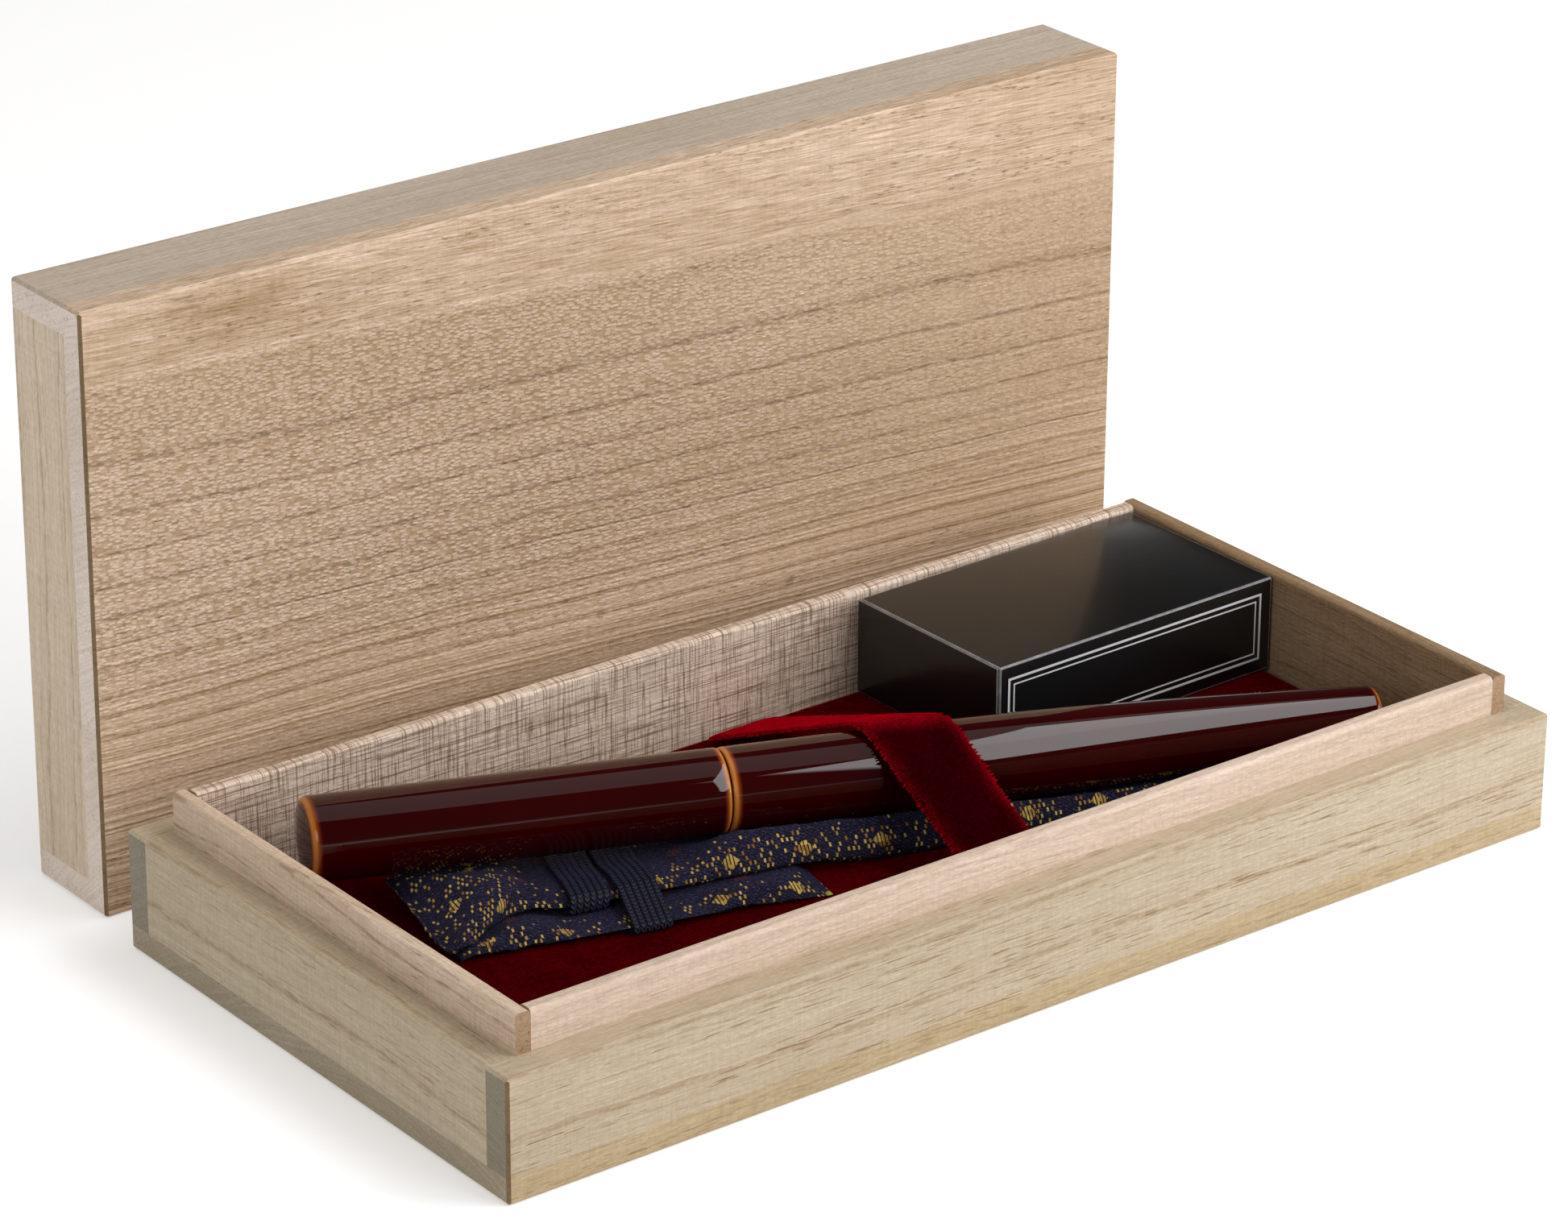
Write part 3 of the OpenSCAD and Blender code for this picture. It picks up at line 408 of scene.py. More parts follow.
# the base's end grain is darker and greyer than the lid's: painted shade
end_grain = paulownia("paulownia end grain, base, painted shade", "#8e8674", "#655b4a", (-20, -90), 2.6,
                      line_share=0.3, pores=0.5, pore_mm=(0.6, 0.6), end=True)
bottom_end_grain = paulownia("paulownia end grain, bottom board", "#a99c85", "#7b6f5a", (-20, -90),
                             2.6, line_share=0.3, pores=0.5, pore_mm=(0.6, 0.6), end=True)
lid_end_grain = paulownia("paulownia end grain, lid", "#ecdccf", "#b5a391", (-20, -90), 2.6,
                          line_share=0.3, pores=0.5, pore_mm=(0.6, 0.6), end=True)
liner_end_grain = paulownia("paulownia end grain, liners", "#ab8d70", "#76583c", (-20, -90), 2.6,
                            line_share=0.3, pores=0.6, pore_mm=(0.6, 0.6), end=True)
# a darker wood for the chamfers that face front left: partly rubbed, partly painted shade
worn_shaded_edge_wood = paulownia("dark edge, rubbed and painted shade", "#80694a", "#55442a", (70, -30), 6.0)
print("wood finishes made")

# %% Give each board its faces, its end grain and its dark corner edges, rubbed and painted shade
def dress_board(node, face, grain_axis, worn_shaded_edges=False):
    piece = nodes[node]
    piece.data.materials.clear()
    ends = liner_end_grain if "liner" in node else lid_end_grain if "lid" in node else end_grain
    ends = bottom_end_grain if node == "bottom_board" else ends
    for material in (face, ends, worn_shaded_edge_wood):
        piece.data.materials.append(material)
    for polygon in piece.data.polygons:
        n = polygon.normal
        if abs(n[grain_axis]) > 0.9:
            polygon.material_index = 1
        elif worn_shaded_edges and n.x < -0.6 and n.y < -0.6:
            polygon.material_index = 2
        else:
            polygon.material_index = 0


boards = (
    ("bottom_board", bottom_wood, 0, True), ("front_board", base_board, 0, True),
    ("back_board", base_board, 0, False), ("left_end_board", base_end_board, 1, False),
    ("right_end_board", base_end_board, 1, False), ("front_liner", liner_long, 0, False),
    ("back_liner", liner_back, 0, False), ("left_liner", liner_left, 1, False),
    ("right_liner", liner_right_painted_shade, 1, False), ("lid_panel", lid_face, 0, True),
    ("lid_front_board", lid_board, 0, False), ("lid_back_board", lid_board, 0, False),
    ("lid_left_end", lid_end_board, 2, False), ("lid_right_end", lid_end_board, 2, False),
)
for board in boards:
    dress_board(*board)
print("boards dressed:", len(boards))

# %% [markdown]
# ## Velvet
# The pad and the ribbon are crimson velvet: a short upright pile that swallows light when it is
# seen end on and glows where it is seen from the side. The sheen of the shader is made for this.
# Under it lies a very dark red, and a fine bump stands for the tips of the pile.

# %% Crimson velvet
def velvet(name, deep, glow, nap_mm, painted_sheen_attribute=""):
    material, tree = new_material(name)
    coord = add(tree, "TexCoord")
    patches = add(tree, "TexNoise", {"Vector": coord.outputs["Object"], "Scale": 1 / (9 * MM),
                                     "Detail": 3.0})
    pile = add(tree, "TexNoise", {"Vector": coord.outputs["Object"], "Scale": 1 / (nap_mm * MM),
                                  "Detail": 3.0, "Roughness": 0.7})
    lift = add(tree, "Math", {0: patches, 1: 0.6, 2: pile}, operation="MULTIPLY_ADD")
    share = add(tree, "MapRange", {"Value": lift, 1: 0.55, 2: 1.05, 3: 0.0, 4: 1.0})
    colour = add(tree, "Mix", {0: share, 6: linear(deep), 7: linear(glow)}, data_type="RGBA")
    if painted_sheen_attribute:
        # the piece's own attribute says where a brighter red is painted on: painted sheen, as on
        # velvet seen from the side
        where = add(tree, "Attribute", attribute_name=painted_sheen_attribute)
        painted_sheen_mix = add(tree, "Math", {0: where.outputs["Fac"], 1: share}, operation="MULTIPLY")
        colour = add(tree, "Mix", {0: painted_sheen_mix, 6: colour, 7: linear("#b0021a")}, data_type="RGBA")
    bump = add(tree, "Bump", {"Height": pile, "Strength": 0.8, "Distance": 0.3 * MM})
    shader = add(tree, "BsdfPrincipled", {
        "Base Color": colour, "Roughness": 1.0, "Specular IOR Level": 0.0, "Sheen Weight": 0.65,
        "Sheen Roughness": 0.22, "Sheen Tint": linear("#e8061a"), "Normal": bump})
    add(tree, "OutputMaterial", {"Surface": shader})
    return material


pad_velvet = velvet("crimson velvet, pad", "#230002", "#4e0207", 0.6)
# the tufts get a brighter copy of the velvet: painted sheen of the ribbon's edges
tuft_velvet_painted_sheen = velvet("crimson velvet, ribbon edge, painted sheen", "#5a0008", "#9c0316", 0.6)
band_velvet = velvet("crimson velvet, ribbon", "#160001", "#350006", 0.5, "painted_sheen")
print("velvet made")

# %% [markdown]
# ## Velvet pad
# The pad is a card with a thin foam sheet and velvet drawn over it. It is flat, a little crowned
# by the foam, rolled at its edges, and slit in two places for the ribbon. A grid of points is
# enough: each point gets its height from its distance to the edge, and the points in a slit sink.

# %% A grid surface as a mesh
def mesh_piece(name, points, faces, body, material):
    mesh = bpy.data.meshes.new(name)
    mesh.from_pydata([tuple(p) for p in points], [], [tuple(f) for f in faces])
    mesh.update()
    piece = bpy.data.objects.new(name, mesh)
    bpy.context.scene.collection.objects.link(piece)
    piece.data.materials.append(material)
    for polygon in mesh.polygons:
        polygon.use_smooth = True
    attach(piece, body)
    return piece


def smooth_step(a, b, x):
    t = np.clip((x - a) / (b - a), 0, 1)
    return t * t * (3 - 2 * t)


print("smooth step at a quarter:", round(float(smooth_step(0, 1, 0.25)), 3))

# %% Velvet pad with its two slits
low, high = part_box("velvet_cover")
slit_y = 41 * MM
band_skew = math.tan(math.radians(2.1))
band_x = 7 * MM
slit_half = (7.5 * MM, 1.1 * MM)


def grid_lines(start, stop, step, extra):
    even = np.linspace(start, stop, int((stop - start) / step) + 1)
    edge = np.array([0.1, 0.3, 0.6, 1.0, 1.5, 2.2]) * MM
    every = np.concatenate([even, start + edge, stop - edge, extra])
    return np.unique(np.round(every, 7))


slit_x = np.array([band_x + side * slit_y * band_skew + s * (slit_half[0] + d * MM)
                   for side in (-1, 1) for s in (-1, 1) for d in (-0.25, 0.0)])
slit_lines_y = np.array([side * slit_y + s * (slit_half[1] + d * MM)
                         for side in (-1, 1) for s in (-1, 1) for d in (-0.25, 0.0)])
xs = grid_lines(low.x, high.x, 1.8 * MM, slit_x)
ys = grid_lines(low.y, high.y, 1.8 * MM, slit_lines_y)
points, faces = [], []
for x in xs:
    for y in ys:
        rim = min(x - low.x, high.x - x, y - low.y, high.y - y) / MM
        z = high.z / MM - 0.05 - 0.9 * max(0.0, 1 - rim / 1.6) ** 2
        z -= 0.12 * max(0.0, 1 - rim / 12)
        z += 0.05 * noise.noise((x / MM * 0.11, y / MM * 0.11, 3.1))
        for side in (-1, 1):
            dx = abs(x - band_x - side * slit_y * band_skew) - slit_half[0]
            dy = abs(y - side * slit_y) - slit_half[1]
            if max(dx, dy) < -0.1 * MM:
                z -= 2.4
        points.append((x, y, z * MM))
count_x, count_y = len(xs), len(ys)
for i in range(count_x - 1):
    for j in range(count_y - 1):
        a = i * count_y + j
        faces.append((a, a + count_y, a + count_y + 1, a + 1))
rim_loop = ([i * count_y for i in range(count_x)]
            + [(count_x - 1) * count_y + j for j in range(1, count_y)]
            + [i * count_y + count_y - 1 for i in range(count_x - 2, -1, -1)]
            + [j for j in range(count_y - 2, 0, -1)])
start = len(points)
for index in rim_loop:
    x, y, z = points[index]
    points.append((x, y, low.z))
for k, index in enumerate(rim_loop):
    after = (k + 1) % len(rim_loop)
    faces.append((rim_loop[after], index, start + k, start + after))
faces.append([start + k for k in range(len(rim_loop) - 1, -1, -1)])
velvet_pad = mesh_piece("velvet_pad", points, faces, "pad", pad_velvet)
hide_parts("velvet_cover")
print("velvet pad faces:", len(faces))

# %% [markdown]
# ## Pen
# The pen is turned from ebonite and coated with many layers of red lacquer over amber. The lacquer
# runs thin at every edge, so the amber glows there, and the last coat is polished like a mirror. A
# turned body is drawn as half an outline and spun round its axis, as on a lathe.

# %% Spin an outline round the pen's axis
cap_end = Vector((-87.2582, 29.4019, 22.4965))
pen_yaw, pen_pitch = math.radians(19.45), math.radians(1.06)
pen_frame = (Matrix.Translation(cap_end * MM)
             @ Euler((0, 0, -pen_yaw)).to_matrix().to_4x4()
             @ Euler((0, pen_pitch, 0)).to_matrix().to_4x4()
             @ Euler((0, math.radians(90), 0)).to_matrix().to_4x4())


def arc(cx, cz, r, start, stop, steps):
    return [(cx + r * math.cos(math.radians(start + (stop - start) * i / steps)),
             cz + r * math.sin(math.radians(start + (stop - start) * i / steps)))
            for i in range(steps + 1)]


def spin_outline(name, outline, place, steps=128):
    """Extrudes one vertex along an outline of (radius, height) in mm and spins it."""
    bpy.ops.object.select_all(action="DESELECT")
    bpy.ops.mesh.primitive_plane_add(size=MM, location=(0, 0, 0))
    piece = bpy.context.object
    piece.name = name
    bpy.ops.object.mode_set(mode="EDIT")
    bpy.ops.mesh.select_all(action="SELECT")
    bpy.ops.mesh.merge(type="CENTER")
    bpy.ops.transform.translate(value=(outline[0][0] * MM, 0, outline[0][1] * MM))
    for (r0, z0), (r1, z1) in zip(outline, outline[1:]):
        bpy.ops.mesh.extrude_region_move(
            TRANSFORM_OT_translate={"value": ((r1 - r0) * MM, 0, (z1 - z0) * MM)})
    bpy.ops.mesh.select_all(action="SELECT")
    bpy.ops.mesh.spin(steps=steps, angle=2 * math.pi, center=(0, 0, 0), axis=(0, 0, 1))
    bpy.ops.mesh.select_all(action="SELECT")
    bpy.ops.mesh.remove_doubles(threshold=1e-6)
    bpy.ops.mesh.normals_make_consistent(inside=False)
    bpy.ops.object.mode_set(mode="OBJECT")
    piece.matrix_world = place
    bpy.ops.object.transform_apply(location=True, rotation=True, scale=True)
    bpy.ops.object.shade_smooth_by_angle(angle=math.radians(40))
    return piece


print("the pen's axis starts at", [round(c, 1) for c in cap_end], "mm")

# %% Cap
cap_r, cap_l, end_dome, end_round = 7.0, 69.0, 0.9, 1.3
dome_r = (cap_r**2 + end_dome**2) / (2 * end_dome)
dome_share = (cap_r - end_round) / (dome_r - end_round)
dome_angle = math.degrees(math.asin(dome_share))
edge_z = dome_r - (dome_r - end_round) * math.cos(math.asin(dome_share))
cap_outline = arc(0, dome_r, dome_r, -90, -90 + dome_angle, 8)
cap_outline += arc(cap_r - end_round, edge_z, end_round, -90 + dome_angle, 0, 8)[1:]
cap_outline += [(cap_r, 20), (cap_r, 45), (cap_r, 66), (cap_r, cap_l - 0.5)]
cap_outline += arc(cap_r - 0.5, cap_l - 0.5, 0.5, 0, 90, 5)[1:]
cap_outline += [(5.95, cap_l), (5.8, cap_l - 0.2), (5.8, 30), (5.8, 8), (0, 8)]
lacquered_cap = spin_outline("lacquered_cap", cap_outline, pen_frame)
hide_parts("pen_cap")
print("cap faces:", len(lacquered_cap.data.polygons))

# %% Barrel
barrel_r, tail_r, mouth_z, pen_l, taper_z = 7.2, 4.6, 69.3, 183.2, 105.3
tail_dome = (tail_r**2 + end_dome**2) / (2 * end_dome)
tail_share = (tail_r - end_round) / (tail_dome - end_round)
tail_angle = math.degrees(math.asin(tail_share))
tail_edge = pen_l - (tail_dome - (tail_dome - end_round) * math.cos(math.asin(tail_share)))
barrel_outline = [(0, 134.3), (3.9, 134.3), (3.9, mouth_z), (cap_r - 0.55, mouth_z)]
barrel_outline += arc(cap_r - 0.55, mouth_z + 0.5, 0.5, -90, 0, 5)[1:]
barrel_outline += [(cap_r, mouth_z + 4), (cap_r + 0.1, mouth_z + 18)]
for i in range(33):
    t = i / 32
    barrel_outline.append((barrel_r - (barrel_r - tail_r) * t**1.8,
                           taper_z + (tail_edge - taper_z) * t))
barrel_outline += arc(tail_r - end_round, tail_edge, end_round, 0, 90 - tail_angle, 8)[1:]
barrel_outline += arc(0, pen_l - tail_dome, tail_dome, 90 - tail_angle, 90, 8)[1:]
barrel_outline[-1] = (0, pen_l)
lacquered_barrel = spin_outline("lacquered_barrel", barrel_outline, pen_frame)
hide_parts("pen_barrel")
print("barrel faces:", len(lacquered_barrel.data.polygons))

# %% Red lacquer that thins to amber at every edge
lacquer, tree = new_material("polished red lacquer over amber")
coord = add(tree, "TexCoord")
local = add(tree, "Mapping", {"Vector": coord.outputs["Object"],
                              "Location": pen_frame.to_translation(),
                              "Rotation": pen_frame.to_euler()}, vector_type="TEXTURE")
parts = add(tree, "SeparateXYZ", {0: local})
flat = add(tree, "VectorMath", {0: local, 1: (1, 1, 0)}, operation="MULTIPLY")
radius = add(tree, "VectorMath", {0: flat}, operation="LENGTH")
spot = add(tree, "CombineXYZ", {"X": radius, "Y": parts.outputs["Z"]})
# radius and height of each turned edge, and how far the amber runs out from it, in mm
thin_edges = ((6.75, 0.75, 1.9), (7.0, 68.9, 1.5), (7.0, 69.5, 1.7), (4.4, 182.5, 1.5))
amber = 0.0
for r, z, run in thin_edges:
    away = add(tree, "VectorMath", {0: spot, 1: (r * MM, z * MM, 0)}, operation="DISTANCE")
    near = add(tree, "MapRange", {"Value": away, 1: 0.15 * MM, 2: run * MM, 3: 1.0, 4: 0.0},
               interpolation_type="SMOOTHSTEP")
    amber = add(tree, "Math", {0: amber, 1: near}, operation="MAXIMUM")
cloud = add(tree, "TexNoise", {"Vector": coord.outputs["Object"], "Scale": 1 / (22 * MM),
                               "Detail": 2.0})
depth = add(tree, "Mix", {0: cloud, 6: linear("#220001"), 7: linear("#3a0102")}, data_type="RGBA")
coat_colour = add(tree, "ValToRGB", {0: amber},
                  stops=[(0.0, linear("#2a0102")), (0.4, linear("#551507")),
                         (0.75, linear("#8a400f")), (1.0, linear("#bf7a34"))])
thin = add(tree, "MapRange", {"Value": amber, 1: 0.0, 2: 0.35, 3: 0.0, 4: 1.0})
colour = add(tree, "Mix", {0: thin, 6: depth, 7: coat_colour}, data_type="RGBA")
shader = add(tree, "BsdfPrincipled", {
    "Base Color": colour, "Roughness": 0.5, "IOR": 1.5, "Specular IOR Level": 0.0,
    "Coat Weight": 1.0, "Coat Roughness": 0.02, "Coat IOR": 1.5})
add(tree, "OutputMaterial", {"Surface": shader})
for piece, body in ((lacquered_cap, "cap"), (lacquered_barrel, "pen")):
    piece.data.materials.clear()
    piece.data.materials.append(lacquer)
    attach(piece, body)
print("lacquer on", lacquered_cap.name, "and", lacquered_barrel.name)

# %% [markdown]
# ## What the capped pen hides
# The grip section, nib, feed, inner cap and cartridges keep their solids. They are hidden until the
# pen is opened, and get plain moulded plastic, gilded steel and ink seen through clear plastic.

# %% Finishes inside the pen and the carton
def fine_finish(name, colour, second, grain_mm, roughness, metallic=0.0, coat=0.0):
    material, tree = new_material(name)
    coord = add(tree, "TexCoord")
    speck = add(tree, "TexNoise", {"Vector": coord.outputs["Object"], "Scale": 1 / (grain_mm * MM),
                                   "Detail": 3.0})
    mix = add(tree, "Mix", {0: speck, 6: linear(colour), 7: linear(second)}, data_type="RGBA")
    bump = add(tree, "Bump", {"Height": speck, "Strength": 0.15, "Distance": 0.1 * MM})
    shader = add(tree, "BsdfPrincipled", {
        "Base Color": mix, "Roughness": roughness, "Metallic": metallic, "Coat Weight": coat,
        "Normal": bump})
    add(tree, "OutputMaterial", {"Surface": shader})
    return material


inner_finishes = (
    ("inner_cap", fine_finish("moulded black plastic", "#1b1b1d", "#242427", 0.8, 0.4)),
    ("grip_section", fine_finish("polished ebonite", "#1a0d0c", "#241312", 1.5, 0.2, coat=0.5)),
    ("nib", fine_finish("gilded steel", "#d9b25c", "#e6c57a", 0.6, 0.22, metallic=1.0)),
    ("ink_feed", fine_finish("matt black plastic", "#121214", "#1c1c1f", 0.5, 0.5)),
    ("pen_cartridge", fine_finish("ink in clear plastic", "#0c0d14", "#14161f", 2.0, 0.12,
                                  coat=1.0)),
    ("ink_cartridges", fine_finish("ink in clear plastic, spare", "#0c0d14", "#14161f", 2.0, 0.12,
                                   coat=1.0)),
    ("pad_card", fine_finish("grey board", "#a89a80", "#958769", 1.2, 0.85)),
    ("pad_foam", fine_finish("open foam", "#e4dccb", "#cfc5b0", 0.7, 0.95)),
)
for node, finish in inner_finishes:
    nodes[node].data.materials.clear()
    nodes[node].data.materials.append(finish)
print("inner finishes:", len(inner_finishes))

# %% [markdown]
# ## Ribbon
# The velvet ribbon comes up out of the back slit, is drawn tight over the pen and goes down into
# the front slit. Each edge is a taut line round a slanting round bar, so the line is two straight
# runs and an arc between the points where they touch. The ribbon is cut to a flat size and its pile
# shows as tiny tufts along both edges.

# %% Taut line over the pen
band_width, band_thick, layer_z = 14.0, 1.15, 10.15
bar_r = barrel_r + 0.35 + band_thick / 2
bar_round = math.cos(pen_yaw) + band_skew * math.sin(pen_yaw)


def taut_line(across):
    """Points (y, z) in mm of the ribbon's line at that distance from its middle."""
    edge_x = band_x / MM + across
    bar_y = ((cap_end.y - math.tan(pen_yaw) * (edge_x - cap_end.x))
             / (1 + math.tan(pen_yaw) * band_skew))
    bar_z = cap_end.z - (cap_end.y - bar_y) / math.sin(pen_yaw) * math.tan(pen_pitch)

    def touch(y, z, way):
        dy, dz = (y - bar_y) * bar_round, z - bar_z
        angle = math.atan2(dz, dy) + way * math.acos(bar_r / math.hypot(dy, dz))
        return angle + (2 * math.pi if dy < 0 else 0)

    def straight(start, end):
        shares = [i / 14 for i in range(1, 14)]
        return [(start[0] + (end[0] - start[0]) * t, start[1] + (end[1] - start[1]) * t)
                for t in shares]

    back, land = (40.7, 10.65), (-39.0, 10.8)
    over_land = (land[0] + 1.2, land[1] + 0.75)
    first, last = touch(*back, 1), touch(*land, -1)
    top = [(bar_y + bar_r * math.cos(first + (last - first) * i / 20) / bar_round,
            bar_z + bar_r * math.sin(first + (last - first) * i / 20)) for i in range(21)]
    return ([(41.0, 7.6), (41.0, 9.4), (40.95, 10.1), back] + straight(back, top[0]) + top
            + straight(top[-1], over_land)
            + [over_land, land, (-40.5, 10.45), (-40.95, 9.7), (-41.0, 7.6)])


print("points along the ribbon's middle:", len(taut_line(0.0)))

# %% Ribbon with its pile
wide = 15
rows = [taut_line(a) for a in np.linspace(-band_width / 2, band_width / 2, wide)]
outer, inner = [], []
for k, line in enumerate(rows):
    across = -band_width / 2 + band_width * k / (wide - 1)
    edge = abs(across) / (band_width / 2)
    half = band_thick / 2 * (1 - 0.45 * edge**6)
    for i, (y, z) in enumerate(line):
        y0, z0 = line[max(i - 1, 0)]
        y1, z1 = line[min(i + 1, len(line) - 1)]
        length = math.hypot(y1 - y0, z1 - z0)
        ny, nz = (z1 - z0) / length, -(y1 - y0) / length
        x = band_x / MM + across + band_skew * y
        wave = 0.06 * noise.noise((i * 0.35, k * 0.5, 1.7))
        outer.append(Vector((x, y + ny * (half + wave), z + nz * (half + wave))) * MM)
        inner.append(Vector((x, y - ny * half, z - nz * half)) * MM)
long = len(rows[0])
points = outer + inner
shift = len(outer)
faces = []
for k in range(wide - 1):
    for i in range(long - 1):
        a = k * long + i
        faces.append((a, a + 1, a + long + 1, a + long))
        faces.append((shift + a, shift + a + long, shift + a + long + 1, shift + a + 1))
for i in range(long - 1):
    a, b = i, (wide - 1) * long + i
    faces.append((a, shift + a, shift + a + 1, a + 1))
    faces.append((b, b + 1, shift + b + 1, shift + b))
for k in range(wide - 1):
    a, b = k * long, k * long + long - 1
    faces.append((a, a + long, shift + a + long, shift + a))
    faces.append((b, shift + b, shift + b + long, b + long))
velvet_ribbon = mesh_piece("velvet_ribbon", points, faces, "pad", band_velvet)
# painted sheen on the back run and over the pen's top, and a little along both edges
painted_sheen_share = velvet_ribbon.data.attributes.new("painted_sheen", "FLOAT", "POINT")
for v in range(len(points)):
    k, i = divmod(v % shift, long)
    bend = 1 - smooth_step(22, 36, i)
    edge = abs(2 * k / (wide - 1) - 1)
    painted_sheen_share.data[v].value = max(0.75 * bend, 0.5 * edge**8)
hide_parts("holding_band")

# %% Tufts of pile along the ribbon's two edges
def along(line, step):
    """Places every step mm along a line of (y, z), with the line's direction there."""
    runs = [math.dist(a, b) for a, b in zip(line, line[1:])]
    total, places, at, i, done = sum(runs), [], step, 0, 0.0
    while at < total - step:
        while done + runs[i] < at:
            done += runs[i]
            i += 1
        t = (at - done) / runs[i]
        (y0, z0), (y1, z1) = line[i], line[i + 1]
        places.append((y0 + (y1 - y0) * t, z0 + (z1 - z0) * t,
                       (y1 - y0) / runs[i], (z1 - z0) / runs[i]))
        at += step
    return places


points, faces = [], []
five = [(math.cos(a), math.sin(a)) for a in np.arange(5) * 2 * math.pi / 5]
for side, line, usual in ((-1, rows[0], 0.55), (1, rows[-1], 0.8)):
    for i, (y, z, dy, dz) in enumerate(along(line[3:-4], 0.6)):
        jitter = noise.noise((i * 1.37, side * 3.0, 0.4))
        lean = noise.noise((i * 1.91, side * 5.0, 2.4))
        reach = max(0.15, usual + 0.5 * jitter)
        x = band_x / MM + side * band_width / 2 + band_skew * y
        forward, normal = Vector((0, dy, dz)), Vector((0, dz, -dy))
        root = Vector((x - side * 0.35, y, z)) + forward * 0.3 * lean
        tip = root + Vector((side * (0.35 + reach), 0, 0))
        tip += normal * 0.4 * lean + forward * 0.45 * lean
        start = len(points)
        for share, radius in ((0.0, 0.28), (0.45, 0.25), (0.85, 0.13)):
            for c, s in five:
                ring_at = root.lerp(tip, share) + (forward * c + normal * s) * radius
                points.append(ring_at * MM)
        points.append(tip * MM)
        ring = list(range(5)) if side < 0 else list(range(4, -1, -1))
        for level in (0, 5):
            for j in range(5):
                a, b = start + level + ring[j], start + level + ring[(j + 1) % 5]
                faces.append((a, b, b + 5, a + 5))
        for j in range(5):
            faces.append((start + 10 + ring[j], start + 10 + ring[(j + 1) % 5], start + 15))
        faces.append([start + a for a in reversed(ring)])
ribbon_tufts = mesh_piece("ribbon_tufts", points, faces, "pad", tuft_velvet_painted_sheen)
print("tufts:", len(points) // 16)

# %% [markdown]
# ## Brocade sleeve
# The pen's own sleeve is a flat tube of indigo cloth woven with gold thread. It lies under the pen,
# its end is folded under as a flap, and a flat cord draws the layers together. The cloth starts as
# rings along its length: the width and the lower and upper heights change smoothly, the cord draws
# the front edge in, and the part in front of the pen stands up fuller than the part it presses on.

# %% The sleeve's own frame and its layers, in millimetres
sleeve_at = Vector((-77.3085, 14.6545, 0))
to_frame = Matrix.Translation(sleeve_at) @ Matrix.Rotation(math.radians(-12), 4, "Z")
sleeve_l, sleeve_w, sleeve_flare = 164.0, 25.0, 2.7
flap_l, flap_out, flap_t = 66.4, 6.0, 1.6
cord_at, cord_w, cord_t, cord_pitch, lay = 32.5, 6.8, 0.6, 7.5, 0.15
pinch_front, pinch_back = 3.0, 2.5
cord_half = (2 * cord_pitch + cord_w) / 2
rest_slope = math.tan(pen_pitch)
sleeve_top, over_flap = 14.8, 11.9
flap_pinched = layer_z + cord_t + lay
between_z = flap_pinched + 0.6 + lay + cord_t / 2
sleeve_pinched = between_z + cord_t / 2 + lay
pinch_top = sleeve_top - (cord_at + cord_half) * rest_slope - cord_t - lay
around = 72


def drawn_in(u):
    return float(smooth_step(cord_half + 12, cord_half, abs(u - cord_at)))


def in_front(v):
    """1 in front of the pen, 0 under it."""
    return smooth_step(2.0, -5.0, v)


print("cord at", cord_at, "mm, layers pinched to", round(pinch_top - layer_z, 2), "mm")

# %% Rings of cloth, and the pen's underside that presses on them
def pen_underside(points, slid):
    """Height in mm of the skin under a pen slid that far over each point, or 99 beside the pen."""
    turned = np.array(to_frame.to_3x3())
    xy = points @ turned.T + np.array(sleeve_at)
    along_pen = np.array([math.cos(pen_yaw), -math.sin(pen_yaw)])
    from_cap = xy[:, :2] - np.array([cap_end.x, cap_end.y])
    s = from_cap @ along_pen
    d = from_cap[:, 0] * along_pen[1] - from_cap[:, 1] * along_pen[0]
    from_end = s - slid
    taper = np.clip((from_end - taper_z) / (tail_edge - taper_z), 0, 1) ** 1.8
    r = np.where(from_end < taper_z, barrel_r, barrel_r - (barrel_r - tail_r) * taper)
    height = cap_end.z - s * math.sin(pen_pitch) - np.sqrt(np.maximum(r**2 - d**2, 0))
    return np.where((abs(d) < r) & (from_end > -1) & (from_end < pen_l + 1), height, 99.0)


def room_under_pen(points):
    """The least of these heights while the sleeve slides by 8 mm each way and the pen by 8 mm."""
    return np.min([pen_underside(points + np.array([shift, 0, 0]), slid)
                   for shift in (-8, -4, 0, 4, 8) for slid in (0, 4, 8)], axis=0)


def cloth_rings(us, section):
    """Points of closed rings; section(u) gives front and back reach, low, high, lift in front."""
    rings = []
    for u in us:
        front, back, low_z, high_z, lift = section(u)
        for j in range(around):
            a = 2 * math.pi * j / around
            c, s = math.cos(a), math.sin(a)
            v = -front * abs(c) ** 0.8 if c < 0 else back * abs(c) ** 0.6
            up = lift * float(in_front(v)) if s > 0 else 0.0
            half = (high_z - low_z) / 2
            z = low_z + half + (half + up) * math.copysign(abs(s) ** 0.75, s)
            rings.append((u, v, z))
    return np.array(rings)


print("rings of", around, "points")

# %% The sleeve's and the flap's sections
# reach of the front edge at places along the sleeve: wide at the folded end, a deep fold just
# before the cord, drawn in by the cord, and slowly out again behind it
edge_places = (0.0, 2.5, 8.0, 13.5, 17.5, 21.0, 25.0, 40.0, 52.0, 62.0, 72.0, 86.0, 100.0, 164.0)
edge_reach = (14.9, 15.0, 11.6, 7.8, 6.2, 8.4, 9.4, 9.5, 10.0, 9.8, 10.6, 11.9, 12.4, 12.4)


def nose(end, run):
    """Share of the height that a rounded end takes away at that distance from it."""
    inside = max(0.0, 1 - end / run)
    return 0.46 * (1 - math.sqrt(1 - inside * inside))


